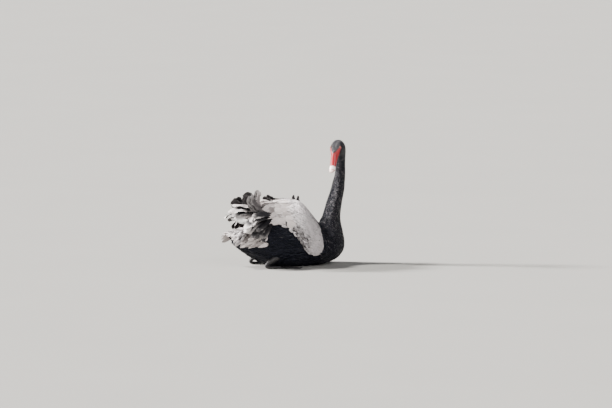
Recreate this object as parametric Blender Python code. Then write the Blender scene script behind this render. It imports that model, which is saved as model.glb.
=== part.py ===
"""A black swan afloat, life size, as a still museum model that rests on its belly.

Metres, +Z up. The bird faces +X, its left side is +Y, and the origin is on the flat of the belly.
The head is turned over the right shoulder and bowed, so the bill points down beside the neck.

The flesh from the tail root to the forehead is one lofted skin. Each station of the loft is a flat
section with a dorsal end and a ventral end, given by their reach and height. Reach is measured from
the upright axis of the neck, in the direction that the station faces.
"""

import math

import bmesh
import bpy
import numpy as np

# Driving dimensions
NECK_AXIS_X = 0.252
JOINT_GAP = 0.0003
SECTION_SIDES = 28
SHARP_ANGLE = math.radians(50)

# Stations of the loft from the tail root to the forehead, in metres and degrees:
# dorsal reach, dorsal height, ventral reach, ventral height, half width, fullness low down, turn
STATIONS = {
    "vent_end": (-0.537, 0.139, -0.534, 0.106, 0.030, 0.00, 0),
    "tail_root": (-0.507, 0.163, -0.507, 0.083, 0.062, 0.05, 0),
    "vent": (-0.457, 0.196, -0.457, 0.050, 0.092, 0.10, 0),
    "rump": (-0.392, 0.243, -0.392, 0.014, 0.120, 0.14, 0),
    "hips": (-0.312, 0.279, -0.312, -0.004, 0.138, 0.16, 0),
    "mid_back": (-0.237, 0.286, -0.232, -0.007, 0.142, 0.16, 0),
    "ribs": (-0.177, 0.250, -0.157, -0.004, 0.136, 0.16, 0),
    "shoulders": (-0.137, 0.212, -0.087, 0.004, 0.121, 0.14, 0),
    "low_breast": (-0.118, 0.194, -0.030, 0.024, 0.102, 0.10, 0),
    "breast": (-0.110, 0.191, 0.006, 0.058, 0.085, 0.06, 0),
    "high_breast": (-0.105, 0.197, 0.016, 0.102, 0.069, 0.02, 0),
    "crop": (-0.099, 0.209, 0.0095, 0.152, 0.055, 0.00, 0),
    "neck_root": (-0.087, 0.232, -0.002, 0.217, 0.0425, 0.00, 0),
    "low_neck": (-0.0674, 0.294, 0.0066, 0.290, 0.0365, 0.00, 0),
    "mid_neck": (-0.0442, 0.360, 0.0198, 0.358, 0.0315, 0.00, 0),
    "high_neck": (-0.0247, 0.431, 0.0247, 0.431, 0.0250, 0.00, -60),
    "neck_top": (-0.0245, 0.472, 0.0245, 0.472, 0.0240, 0.00, -110),
    "nape": (-0.0255, 0.508, 0.0255, 0.496, 0.0250, 0.00, -139),
    "occiput": (-0.0200, 0.548, 0.0290, 0.506, 0.0295, 0.00, -139),
    "hind_crown": (-0.0020, 0.577, 0.0330, 0.509, 0.0335, 0.00, -139),
    "crown": (0.0220, 0.587, 0.0360, 0.509, 0.0345, 0.02, -139),
    "brow": (0.0465, 0.578, 0.0390, 0.507, 0.0315, 0.06, -139),
    "forehead": (0.0640, 0.553, 0.0420, 0.503, 0.0245, 0.06, -139),
    "bill_base": (0.0740, 0.526, 0.0460, 0.499, 0.0170, 0.00, -139),
}
STATION_ROWS = np.array(list(STATIONS.values()))
LOFT_PLACE = {name: i for i, name in enumerate(STATIONS)}

# The body is parted at these stations
BODY_LENGTHS = (
    ("rump", "vent_end", "vent", 3),
    ("trunk", "vent", "neck_root", 2),
    ("neck_lower", "neck_root", "mid_neck", 3),
    ("neck_upper", "mid_neck", "nape", 3),
    ("head", "nape", "bill_base", 2),
)

# Eyes
EYE_RADIUS = 0.0062
EYE_PROUD = 0.0017
EYE_SIDES = 12
EYE_PLACE = LOFT_PLACE["brow"] + 0.22
EYE_ANGLE = math.radians(64)

# Bill: share of its length, culmen height, underside height and half width, all about its own axis
BILL_LENGTH = 0.083
BILL_SLOPE = math.radians(-64)
BILL_TOMIUM = -0.0050
BILL_ARC_POINTS = 11
MOUTH_LINE = np.array([-0.5, 0.0, 0.5])
UPPER_BILL = (
    (0.00, 0.0180, 0.0166),
    (0.14, 0.0150, 0.0164),
    (0.30, 0.0112, 0.0158),
    (0.50, 0.0074, 0.0148),
    (0.68, 0.0048, 0.0146),
    (0.82, 0.0034, 0.0144),
    (0.92, 0.0023, 0.0124),
    (0.98, 0.0002, 0.0082),
    (1.00, -0.0025, 0.0046),
)
LOWER_BILL = (
    (0.00, -0.0178, 0.0150),
    (0.20, -0.0152, 0.0146),
    (0.45, -0.0126, 0.0134),
    (0.70, -0.0102, 0.0130),
    (0.86, -0.0088, 0.0112),
    (0.93, -0.0072, 0.0066),
)

# Wing shell over the trunk: loft place, lower edge as an angle from the dorsal line, height on top
WING_STATIONS = (
    (2.35, 50, 0.072),
    (3.00, 52, 0.070),
    (3.50, 57, 0.056),
    (4.00, 67, 0.044),
    (4.50, 86, 0.040),
    (5.00, 108, 0.041),
    (5.50, 118, 0.034),
    (6.00, 120, 0.022),
    (6.50, 118, 0.013),
    (7.05, 112, 0.008),
)
WING_TOP_ANGLE = math.radians(5)
WING_RIDGE = 0.24
WING_RIDGE_SPREAD = 0.34
WING_GROOVE = 0.35
WING_SIDE_LIFT = 0.015
WING_EDGE_LIFT = 0.006
WING_EDGE_DOWN = 0.80
WING_EDGE_FRONT = 0.88
WING_FRONT_SWEEP = 0.60
WING_BEDDING = 0.005
WING_ROWS = 14
WING_COLUMNS = 8

# Plumes, the curled inner wing feathers over the rump, on the right side:
# root, heading (0 is backward, positive is outward), climb, length, width, curl, roll, in degrees
PLUMES = {
    "tertial_1": ((-0.164, -0.042, 0.286), 4, 30, 0.090, 0.060, 92, 68),
    "tertial_2": ((-0.168, -0.086, 0.264), 4, 14, 0.122, 0.060, 62, 66),
    "tertial_3": ((-0.170, -0.058, 0.258), -2, 20, 0.170, 0.054, -36, 26),
    "tertial_4": ((-0.166, -0.110, 0.238), 2, 14, 0.134, 0.060, -92, 42),
    "tertial_5": ((-0.160, -0.124, 0.204), 0, 0, 0.102, 0.050, -64, 56),
}
PLUME_DROOP = {"left": 14, "right": 0}
PLUME_SHARE = {"left": 0.86, "right": 1.0}
PLUME_THICKNESS = 0.0026
PLUME_CAMBER = 0.30
PLUME_ROOT_SHARE = 0.42
PLUME_TIP_SHARE = 0.24
PLUME_WIDEST = 0.45
PLUME_ROWS = 10
PLUME_COLUMNS = 4

# White flight feathers, folded under the plumes, described as a plume is
PRIMARY_ROOT = (-0.172, -0.066, 0.214)
PRIMARY_SHAPE = (-2, 3, 0.132, 0.036, 3, 32)
PRIMARY_THICKNESS = 0.006

# Tail fan
TAIL_ROOT_X = -0.226
TAIL_TIP_X = -0.334
TAIL_ROOT_Z = 0.188
TAIL_TIP_Z = 0.163
TAIL_ROOT_HALF = 0.046
TAIL_TIP_HALF = 0.088
TAIL_SIDE_SHORTER = 0.036
TAIL_DROOP = 0.060
TAIL_ARCH = 2.4
TAIL_THICKNESS = 0.0055
TAIL_FEATHERS = 9
TAIL_SCALLOP = 0.0045
TAIL_COLUMNS = 36
TAIL_ROWS = 5

# Legs and feet: the left leg's line from inside the flank to the heel and on to the toes
LEG_LINE = (
    (-0.084, 0.088, 0.062, 0.0190),
    (-0.120, 0.096, 0.046, 0.0150),
    (-0.149, 0.100, 0.030, 0.0100),
    (-0.163, 0.102, 0.0175, 0.0078),
    (-0.155, 0.103, 0.0085, 0.0072),
    (-0.130, 0.104, 0.0066, 0.0060),
    (-0.092, 0.106, 0.0066, 0.0060),
)
LEG_SIDES = 10
LEG_STEPS = 12
TOE_ROOT = (-0.094, 0.106)
TOE_LENGTHS = (0.088, 0.104, 0.094)
TOE_HEADINGS = (-9, 7, 24)
TOE_HEIGHT = 0.0078
TOE_HALF_WIDTH = 0.0042
WEB_HEIGHT = 0.0026
WEB_HOLLOW = 0.016
WEB_HALF_ANGLE = 8
TOE_MARGIN = 5
TOE_TAPER = 0.55
FOOT_HEEL_SHARE = 0.06
FOOT_COLUMNS = 20
FOOT_ROWS = 4


def paint(name, colour, roughness):
    """A plain material, its colour in linear red, green and blue."""
    material = bpy.data.materials.new(name)
    material.use_nodes = True
    shader = material.node_tree.nodes["Principled BSDF"]
    shader.inputs["Base Color"].default_value = (*colour, 1.0)
    shader.inputs["Roughness"].default_value = roughness
    shader.inputs["Metallic"].default_value = 0.0
    material.diffuse_color = (*colour, 1.0)
    return material


def add_object(name, vertices, faces, material):
    """One closed mesh object, its place in its mesh, with its faces turned outwards and smooth."""
    mesh = bpy.data.meshes.new(name)
    mesh.from_pydata([tuple(map(float, v)) for v in vertices], [], faces)
    work = bmesh.new()
    work.from_mesh(mesh)
    bmesh.ops.triangulate(work, faces=work.faces)
    bmesh.ops.recalc_face_normals(work, faces=work.faces)
    work.to_mesh(mesh)
    work.free()
    mesh.shade_smooth()
    mesh.set_sharp_from_angle(angle=SHARP_ANGLE)
    mesh.materials.append(material)
    piece = bpy.data.objects.new(name, mesh)
    bpy.context.scene.collection.objects.link(piece)
    return piece


def closed_tube(rings):
    """Vertices and faces of a tube through rings of points, each end closed by a fan round its middle."""
    rings = np.asarray(rings)
    count, sides = rings.shape[:2]
    vertices = list(rings.reshape(-1, 3))
    faces = []
    for i in range(count - 1):
        for j in range(sides):
            k = (j + 1) % sides
            faces.append((i * sides + j, i * sides + k, (i + 1) * sides + k, (i + 1) * sides + j))
    for end in (0, count - 1):
        hub = len(vertices)
        vertices.append(rings[end].mean(axis=0))
        for j in range(sides):
            faces.append((hub, end * sides + j, end * sides + (j + 1) % sides))
    return vertices, faces


def closed_shell(outer, inner):
    """Vertices and faces of the slab between two grids of points of one size, closed round its rim."""
    outer, inner = np.asarray(outer), np.asarray(inner)
    rows, columns = outer.shape[:2]
    half = rows * columns
    vertices = list(outer.reshape(-1, 3)) + list(inner.reshape(-1, 3))
    faces = []
    for i in range(rows - 1):
        for j in range(columns - 1):
            a = i * columns + j
            faces.append((a, a + 1, a + columns + 1, a + columns))
            faces.append((half + a, half + a + columns, half + a + columns + 1, half + a + 1))
    rim = [j for j in range(columns)]
    rim += [i * columns + columns - 1 for i in range(1, rows)]
    rim += [(rows - 1) * columns + j for j in range(columns - 2, -1, -1)]
    rim += [i * columns for i in range(rows - 2, 0, -1)]
    for a, b in zip(rim, rim[1:] + rim[:1]):
        faces.append((b, a, half + a, half + b))
    return vertices, faces


def smooth_row(rows, place):
    """The row at a fractional place in a table, on a Catmull-Rom curve through its rows."""
    last = len(rows) - 1
    i = int(min(max(math.floor(place), 0), last - 1))
    f = place - i
    before, here, there, after = (rows[min(max(k, 0), last)] for k in (i - 1, i, i + 1, i + 2))
    return 0.5 * (
        2 * here
        + (there - before) * f
        + (2 * before - 5 * here + 4 * there - after) * f**2
        + (3 * here - before - 3 * there + after) * f**3
    )


def ease(value, low, high):
    """0 below low, 1 above high, smooth between."""
    f = min(max((value - low) / (high - low), 0.0), 1.0)
    return f * f * (3 - 2 * f)


def station_frame(place):
    """Centre, dorsal half axis, lateral half axis and low fullness of the section at a loft place."""
    d_reach, d_z, v_reach, v_z, half_width, low, turn = smooth_row(STATION_ROWS, place)
    turn = math.radians(turn)
    facing = np.array([math.cos(turn), math.sin(turn), 0.0])
    side = np.array([-math.sin(turn), math.cos(turn), 0.0])
    axis = np.array([NECK_AXIS_X, 0.0, 0.0])
    dorsal = axis + facing * d_reach + np.array([0.0, 0.0, d_z])
    ventral = axis + facing * v_reach + np.array([0.0, 0.0, v_z])
    return (dorsal + ventral) / 2, (dorsal - ventral) / 2, side * half_width, low


def forward_of(place):
    """The unit vector across a section, from the tail towards the bill."""
    _, up, side, _ = station_frame(place)
    across = np.cross(side, up)
    return across / np.linalg.norm(across)


def flesh_point(place, angle, proud=0.0):
    """A point of the loft, at an angle from the dorsal line down the left side, lifted off it by proud."""
    centre, up, side, low = station_frame(place)
    c, s = math.cos(angle), math.sin(angle)
    outward = up * c / np.linalg.norm(up) + side * s / np.linalg.norm(side)
    return centre + up * c + side * s * (1 - low * c) + outward / np.linalg.norm(outward) * proud


def flesh_ring(place, shift=0.0):
    """One section of the loft as a ring of points, moved forward by shift and kept above the floor."""
    angles = np.arange(SECTION_SIDES) * 2 * math.pi / SECTION_SIDES
    ring = np.array([flesh_point(place, a) for a in angles]) + forward_of(place) * shift
    ring[:, 2] = np.maximum(ring[:, 2], 0.0)
    return ring


def make_body_length(name, first, last, per_station, material):
    """One length of the body between two stations, closed by flat ends that stand half a gap inside them."""
    start, end = LOFT_PLACE[first], LOFT_PLACE[last]
    places = np.linspace(start, end, (end - start) * per_station + 1)
    rings = [flesh_ring(p) for p in places]
    rings[0] = flesh_ring(start, JOINT_GAP / 2)
    rings[-1] = flesh_ring(end, -JOINT_GAP / 2)
    return add_object(name, *closed_tube(rings), material)


def swollen(source, amount=JOINT_GAP):
    """A copy of a closed object with its surface moved outwards, to cut with."""
    mesh = source.data.copy()
    points = np.array([v.co + v.normal * amount for v in mesh.vertices])
    mesh.vertices.foreach_set("co", points.ravel())
    copy = bpy.data.objects.new(source.name + "_cutter", mesh)
    bpy.context.scene.collection.objects.link(copy)
    return copy


def cut_away(piece, *sources):
    """Cuts from a closed object the room that others take up, with the joint gap round them."""
    for source in sources:
        cutter = swollen(source)
        cut = piece.modifiers.new("cut", "BOOLEAN")
        cut.operation = "DIFFERENCE"
        cut.object = cutter
        bpy.context.view_layer.update()
        graph = bpy.context.evaluated_depsgraph_get()
        mesh = bpy.data.meshes.new_from_object(piece.evaluated_get(graph))
        piece.modifiers.clear()
        piece.data = mesh
        bpy.data.objects.remove(cutter)


def make_eye(name, side, material):
    """A ball set into the side of the head; side is 1 on the left and -1 on the right."""
    centre = flesh_point(EYE_PLACE, side * EYE_ANGLE, EYE_PROUD - EYE_RADIUS)
    mesh = bpy.data.meshes.new(name)
    work = bmesh.new()
    bmesh.ops.create_uvsphere(work, u_segments=EYE_SIDES, v_segments=EYE_SIDES // 2, radius=EYE_RADIUS)
    bmesh.ops.translate(work, verts=work.verts, vec=centre)
    work.to_mesh(mesh)
    work.free()
    mesh.shade_smooth()
    mesh.materials.append(material)
    eye = bpy.data.objects.new(name, mesh)
    bpy.context.scene.collection.objects.link(eye)
    return eye


def bill_frame():
    """Base centre, forward, dorsal and left directions of the bill, and how far its base leans."""
    base, up, side, _ = station_frame(LOFT_PLACE["bill_base"])
    left = side / np.linalg.norm(side)
    facing = np.cross(left, [0.0, 0.0, 1.0])
    forward = facing * math.cos(BILL_SLOPE) + np.array([0.0, 0.0, math.sin(BILL_SLOPE)])
    dorsal = np.cross(forward, left)
    across = forward_of(LOFT_PLACE["bill_base"])
    lean = -np.dot(dorsal, across) / np.dot(forward, across)
    return base, forward, dorsal, left, lean


def make_bill(name, profile, tomium, arc_points, material):
    """Half of the bill: arched sections along its axis, flat where the two halves meet."""
    base, forward, dorsal, left, lean = bill_frame()
    table = np.array(profile)
    rings = []
    for place in np.linspace(0, len(table) - 1, 2 * len(table) - 1):
        share, height, half_width = smooth_row(table, place)
        arc = np.linspace(0, math.pi, arc_points)
        across = np.concatenate([half_width * np.cos(arc), half_width * MOUTH_LINE])
        rise = np.concatenate([(height - tomium) * np.sin(arc), np.zeros(len(MOUTH_LINE))]) + tomium
        settle = lean * rise * (1 - share) ** 2
        along = share * BILL_LENGTH + settle + JOINT_GAP
        rings.append(
            base
            + np.outer(along, forward)
            + np.outer(rise, dorsal)
            + np.outer(across, left)
        )
    return add_object(name, *closed_tube(rings), material)


def wing_lift(top, share_down, share_forward):
    """Height of the wing over the trunk: a ridge beside the groove of the back, thin at its edges."""
    ridge = math.exp(-(((share_down - WING_RIDGE) / WING_RIDGE_SPREAD) ** 2))
    groove = 1 - WING_GROOVE * (1 - ease(share_down, 0.0, WING_RIDGE))
    full = WING_SIDE_LIFT + max(top - WING_SIDE_LIFT, 0.0) * ridge * groove
    if top < WING_SIDE_LIFT:
        full = top + (WING_SIDE_LIFT - top) * ease(share_down, WING_RIDGE / 2, 2 * WING_RIDGE)
    edges = (1 - ease(share_down, WING_EDGE_DOWN, 1.0)) * (1 - ease(share_forward, WING_EDGE_FRONT, 1.0))
    return WING_EDGE_LIFT + (full - WING_EDGE_LIFT) * edges


def make_wing(name, side, material):
    """A folded wing: a shell bedded in the trunk, from the wrist by the breast to the rump."""
    table = np.array(WING_STATIONS)
    outer, inner = [], []
    for row in range(WING_ROWS):
        forward = row / (WING_ROWS - 1)
        place, lower_edge, top = smooth_row(table, forward * (len(table) - 1))
        outer_row, inner_row = [], []
        for column in range(WING_COLUMNS):
            down = column / (WING_COLUMNS - 1)
            angle = WING_TOP_ANGLE + (math.radians(lower_edge) - WING_TOP_ANGLE) * down
            swept = place - WING_FRONT_SWEEP * down * ease(forward, 0.5, 1.0)
            lift = wing_lift(top, down, forward)
            outer_row.append(flesh_point(swept, side * angle, lift))
            inner_row.append(flesh_point(swept, side * angle, -WING_BEDDING))
        outer.append(outer_row)
        inner.append(inner_row)
    return add_object(name, *closed_shell(outer, inner), material)


def blade_grid(root, heading, climb, length, width, curl, roll, side):
    """The middle sheet of a long feather that sets out along a heading and curls, and its normals."""
    heading, climb, curl, roll = (math.radians(v) for v in (heading, climb, curl, roll))
    back = np.array([-math.cos(heading), side * math.sin(heading), 0.0])
    across = np.array([side * math.sin(heading), math.cos(heading), 0.0]) * side
    point = np.array(root) * np.array([1.0, -side, 1.0])
    step = length / (PLUME_ROWS - 1)
    sheet, normals = [], []
    for row in range(PLUME_ROWS):
        share = row / (PLUME_ROWS - 1)
        tilt = climb + curl * share
        along = back * math.cos(tilt) + np.array([0.0, 0.0, math.sin(tilt)])
        lifted = np.cross(across, along) * side
        turn = roll * (1 + 2 * share) / 3
        edge = across * math.cos(turn) - lifted * math.sin(turn)
        face = lifted * math.cos(turn) + across * math.sin(turn)
        spread = PLUME_ROOT_SHARE + (1 - PLUME_ROOT_SHARE) * ease(share, 0.0, PLUME_WIDEST)
        half = width / 2 * max(spread * (1 - share**5) ** 0.6, PLUME_TIP_SHARE)
        line = np.linspace(-1, 1, PLUME_COLUMNS + 1)
        sag = PLUME_CAMBER * half * (1 - line**2)
        sheet.append(point + np.outer(line * half, edge) + np.outer(sag, face))
        normals.append(np.tile(face, (PLUME_COLUMNS + 1, 1)))
        point = point + along * step
    return np.array(sheet), np.array(normals)


def make_blade(name, shape, thickness, side, material):
    """A curved feather blade of even thickness."""
    sheet, normals = blade_grid(*shape, side)
    outer = sheet + normals * thickness / 2
    inner = sheet - normals * thickness / 2
    return add_object(name, *closed_shell(outer, inner), material)


def make_tail(name, material):
    """The tail fan: an arched slab whose end is scalloped by the feather tips."""
    sheet = []
    for row in range(TAIL_ROWS):
        share = row / (TAIL_ROWS - 1)
        line = []
        for column in range(TAIL_COLUMNS + 1):
            v = 2 * column / TAIL_COLUMNS - 1
            scallop = TAIL_SCALLOP * abs(math.sin(math.pi * TAIL_FEATHERS * (v + 1) / 2))
            tip = TAIL_TIP_X + TAIL_SIDE_SHORTER * v * v + TAIL_SCALLOP - scallop
            half = TAIL_ROOT_HALF + (TAIL_TIP_HALF - TAIL_ROOT_HALF) * share
            droop = TAIL_DROOP * abs(v) ** TAIL_ARCH * (1 + 2 * share) / 3
            x = TAIL_ROOT_X + (tip - TAIL_ROOT_X) * share
            z = TAIL_ROOT_Z + (TAIL_TIP_Z - TAIL_ROOT_Z) * share - droop
            line.append((x, half * math.sin(v * math.pi / 2), z))
        sheet.append(line)
    sheet = np.array(sheet)
    lower = sheet - np.array([0.0, 0.0, TAIL_THICKNESS])
    return add_object(name, *closed_shell(sheet, lower), material)


def make_leg(name, side, material):
    """A folded leg: a tapering tube down the flank to the heel and forward along the floor."""
    table = np.array(LEG_LINE) * np.array([1.0, side, 1.0, 1.0])
    places = np.linspace(0, len(table) - 1, LEG_STEPS + 1)
    line = np.array([smooth_row(table, p) for p in places])
    rings = []
    for i, (x, y, z, radius) in enumerate(line):
        ahead = line[min(i + 1, LEG_STEPS)][:3] - line[max(i - 1, 0)][:3]
        ahead = ahead / np.linalg.norm(ahead)
        side_way = np.cross(ahead, np.cross([0.0, 1.0, 0.0], ahead))
        side_way = side_way / np.linalg.norm(side_way)
        up_way = np.cross(side_way, ahead)
        angles = np.arange(LEG_SIDES) * 2 * math.pi / LEG_SIDES
        ring = np.array([x, y, z]) + np.outer(np.cos(angles) * radius, side_way)
        ring = ring + np.outer(np.sin(angles) * radius, up_way)
        ring[:, 2] = np.maximum(ring[:, 2], 0.0)
        rings.append(ring)
    return add_object(name, *closed_tube(rings), material)


def make_foot(name, side, material):
    """Three toes and their web as one piece: flat below, ridged over the toes, hollow-edged between them."""
    first, last = TOE_HEADINGS[0] - TOE_MARGIN, TOE_HEADINGS[-1] + TOE_MARGIN
    top, bottom = [], []
    for row in range(FOOT_ROWS + 1):
        share = FOOT_HEEL_SHARE + (1 - FOOT_HEEL_SHARE) * row / FOOT_ROWS
        top_row, bottom_row = [], []
        for column in range(FOOT_COLUMNS + 1):
            heading = first + (last - first) * column / FOOT_COLUMNS
            length = np.interp(heading, TOE_HEADINGS, TOE_LENGTHS)
            nearest = min(abs(heading - toe) for toe in TOE_HEADINGS)
            reach = share * (length - WEB_HOLLOW * ease(nearest, 0, WEB_HALF_ANGLE))
            across = math.radians(nearest) * reach
            ridge = math.exp(-((across / TOE_HALF_WIDTH) ** 2)) * (1 - TOE_TAPER * share)
            height = WEB_HEIGHT + (TOE_HEIGHT - WEB_HEIGHT) * ridge
            x = TOE_ROOT[0] + reach * math.cos(math.radians(heading))
            y = side * (TOE_ROOT[1] + reach * math.sin(math.radians(heading)))
            top_row.append((x, y, height))
            bottom_row.append((x, y, 0.0))
        top.append(top_row)
        bottom.append(bottom_row)
    return add_object(name, *closed_shell(top, bottom), material)


def make_swan():
    """Every piece of the bird, the flesh first, then what is bedded in it."""
    black = paint("black_plumage", (0.018, 0.017, 0.019), 0.55)
    sooty = paint("wing_plumage", (0.060, 0.052, 0.050), 0.60)
    white = paint("white_flight_feathers", (0.80, 0.79, 0.76), 0.55)
    red = paint("bill_red", (0.48, 0.030, 0.035), 0.32)
    iris = paint("eye_red", (0.20, 0.010, 0.008), 0.08)
    leather = paint("leg_skin", (0.030, 0.029, 0.030), 0.50)

    body = {row[0]: make_body_length(*row, black) for row in BODY_LENGTHS}
    make_bill("bill_upper", UPPER_BILL, BILL_TOMIUM, BILL_ARC_POINTS, red)
    make_bill("bill_lower", LOWER_BILL, BILL_TOMIUM - JOINT_GAP, BILL_ARC_POINTS, red)
    tail = make_tail("tail", black)
    cut_away(tail, body["rump"], body["trunk"])
    for side_name, side in (("left", 1), ("right", -1)):
        eye = make_eye("eye_" + side_name, side, iris)
        cut_away(body["head"], eye)
        wing = make_wing("wing_" + side_name, side, sooty)
        cut_away(wing, body["trunk"])
        for plume, (root, heading, climb, length, *bend) in PLUMES.items():
            climb = climb - PLUME_DROOP[side_name]
            shape = (root, heading, climb, length * PLUME_SHARE[side_name], *bend)
            blade = make_blade(f"{plume}_{side_name}", shape, PLUME_THICKNESS, side, sooty)
            cut_away(blade, wing)
        heading, climb, length, *bend = PRIMARY_SHAPE
        primaries = (PRIMARY_ROOT, heading, climb, length * PLUME_SHARE[side_name], *bend)
        blade = make_blade("primaries_" + side_name, primaries, PRIMARY_THICKNESS, side, white)
        cut_away(blade, wing, body["trunk"])
        foot = make_foot("foot_" + side_name, side, leather)
        leg = make_leg("leg_" + side_name, side, leather)
        cut_away(leg, body["trunk"], foot)


for leftover in list(bpy.data.objects):
    bpy.data.objects.remove(leftover)
make_swan()
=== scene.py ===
"""The visual model of a life-size black swan, afloat, as a still museum model.

Metres, +Z up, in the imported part's own frame: the bird faces +X and its left side is +Y.
The skin, the wings and each feather are surfaces of two parameters, worked out as whole arrays.
"""

import logging
import math
from collections.abc import Callable, Iterator
from dataclasses import dataclass, field
from enum import Enum
from functools import partial

import bpy
import numpy as np
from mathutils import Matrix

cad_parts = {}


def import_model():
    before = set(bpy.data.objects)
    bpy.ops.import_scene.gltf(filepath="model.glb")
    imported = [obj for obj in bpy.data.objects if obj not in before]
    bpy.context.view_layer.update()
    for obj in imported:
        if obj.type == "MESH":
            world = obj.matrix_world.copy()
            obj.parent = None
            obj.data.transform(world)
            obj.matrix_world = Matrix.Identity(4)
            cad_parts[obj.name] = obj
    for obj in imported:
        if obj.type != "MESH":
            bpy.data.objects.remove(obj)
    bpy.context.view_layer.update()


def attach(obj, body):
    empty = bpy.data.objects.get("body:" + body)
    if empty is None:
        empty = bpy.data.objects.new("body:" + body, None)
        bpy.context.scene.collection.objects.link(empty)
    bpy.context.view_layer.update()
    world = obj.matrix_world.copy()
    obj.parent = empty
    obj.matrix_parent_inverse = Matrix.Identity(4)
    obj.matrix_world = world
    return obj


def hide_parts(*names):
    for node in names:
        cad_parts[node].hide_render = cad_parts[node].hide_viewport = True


Array = np.ndarray
Span = tuple[float, float]
Triple = tuple[float, float, float]
Cell = tuple[float, float, float, float]
Row = tuple[float, ...]
Table = tuple[Row, ...]
Material = bpy.types.Material
Socket = bpy.types.NodeSocket
Random = np.random.Generator

LOG = logging.getLogger("black_swan")
ROOT = "root"
SIDES = {"left": 1, "right": -1}
FLOOR_FADE = 0.004
FULL_TURN = 2 * math.pi
UP = np.array([0.0, 0.0, 1.0])
NO_TRIANGLES = np.zeros((0, 3), int)

# The bake map: the shares that a tube's sides, a tube's end discs, a slab's sheets and its rim take
BAKE_MAP = "OFBake"
WHOLE_MAP: Cell = (0.0, 0.0, 1.0, 1.0)
MAP_MARGIN = 0.01
TUBE_PATCH = np.array([0.98, 0.88])
DISC_HEIGHT, DISC_RADIUS = 0.95, 0.04
SHEET_PATCH = np.array([0.48, 0.90])
SECOND_SHEET = np.array([0.51, 0.01])
RIM_STRIP = (0.93, 0.97)

# Stations of the loft from the tail root to the forehead, in metres and degrees:
# dorsal reach, dorsal height, ventral reach, ventral height, half width, fullness low down, turn
STATIONS = {
    "vent_end": (-0.537, 0.139, -0.534, 0.106, 0.030, 0.00, 0),
    "tail_root": (-0.507, 0.163, -0.507, 0.083, 0.062, 0.05, 0),
    "vent": (-0.457, 0.196, -0.457, 0.050, 0.092, 0.10, 0),
    "rump": (-0.392, 0.243, -0.392, 0.014, 0.120, 0.14, 0),
    "hips": (-0.312, 0.279, -0.312, -0.004, 0.138, 0.16, 0),
    "mid_back": (-0.237, 0.286, -0.232, -0.007, 0.142, 0.16, 0),
    "ribs": (-0.177, 0.250, -0.157, -0.004, 0.136, 0.16, 0),
    "shoulders": (-0.137, 0.212, -0.087, 0.004, 0.121, 0.14, 0),
    "low_breast": (-0.118, 0.194, -0.030, 0.024, 0.102, 0.10, 0),
    "breast": (-0.110, 0.191, 0.006, 0.058, 0.085, 0.06, 0),
    "high_breast": (-0.105, 0.197, 0.016, 0.102, 0.069, 0.02, 0),
    "crop": (-0.099, 0.209, 0.0095, 0.152, 0.055, 0.00, 0),
    "neck_root": (-0.087, 0.232, -0.002, 0.217, 0.0425, 0.00, 0),
    "low_neck": (-0.0674, 0.294, 0.0066, 0.290, 0.0365, 0.00, 0),
    "mid_neck": (-0.0442, 0.360, 0.0198, 0.358, 0.0315, 0.00, 0),
    "high_neck": (-0.0247, 0.431, 0.0247, 0.431, 0.0250, 0.00, -60),
    "neck_top": (-0.0245, 0.472, 0.0245, 0.472, 0.0240, 0.00, -110),
    "nape": (-0.0255, 0.508, 0.0255, 0.496, 0.0250, 0.00, -139),
    "occiput": (-0.0200, 0.548, 0.0290, 0.506, 0.0295, 0.00, -139),
    "hind_crown": (-0.0020, 0.577, 0.0330, 0.509, 0.0335, 0.00, -139),
    "crown": (0.0220, 0.587, 0.0360, 0.509, 0.0345, 0.02, -139),
    "brow": (0.0465, 0.578, 0.0390, 0.507, 0.0315, 0.06, -139),
    "forehead": (0.0640, 0.553, 0.0420, 0.503, 0.0245, 0.06, -139),
    "bill_base": (0.0740, 0.526, 0.0460, 0.499, 0.0170, 0.00, -139),
}
PLACE = {name: index for index, name in enumerate(STATIONS)}

# The folded wing from its rear end forwards: place on the loft, lower edge in degrees, height in metres
WING_ROWS = (
    (2.35, 50, 0.072),
    (3.00, 52, 0.070),
    (3.50, 57, 0.056),
    (4.00, 67, 0.044),
    (4.50, 86, 0.040),
    (5.00, 108, 0.041),
    (5.50, 118, 0.034),
    (6.00, 120, 0.022),
    (6.50, 118, 0.013),
    (7.05, 112, 0.008),
)
WING_FRONT_SWEEP = 0.60


def ease(value: Array, low: float, high: float) -> Array:
    """0 below low, 1 above high, and 3f^2 - 2f^3 of the way f between them."""
    way = np.clip((np.asarray(value, float) - low) / (high - low), 0.0, 1.0)
    return way * way * (3 - 2 * way)


def between(ends: Span, share: Array) -> Array:
    """The value at a share of the way from the first end to the second."""
    return ends[0] + (ends[1] - ends[0]) * share


def hump(distance: Array, reach: float) -> Array:
    """The Gaussian bell of a distance, 1 at its middle."""
    return np.exp(-((distance / reach) ** 2))


def unit(vectors: Array) -> Array:
    """Vectors scaled to length 1 along their last axis."""
    return vectors / np.maximum(np.linalg.norm(vectors, axis=-1, keepdims=True), 1e-12)


def stacked(*parts: Array) -> Array:
    """Arrays of one shape, or stretched to it, side by side along a new last axis."""
    return np.stack(np.broadcast_arrays(*parts), axis=-1)


def turns(count: int) -> Array:
    """Angles evenly round a circle, the last one short of a full turn."""
    return np.arange(count) * 2 * math.pi / count


def degrees_down(around: Array) -> Array:
    """Degrees from the middle of the back, alike on both sides."""
    return np.degrees(np.abs((around + math.pi) % FULL_TURN - math.pi))


def heading_vector(degrees: float, side: int) -> Array:
    """The level unit vector at some degrees from forwards, outwards on the side given."""
    angle = math.radians(degrees)
    return np.array([math.cos(angle), side * math.sin(angle), 0.0])


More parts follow.
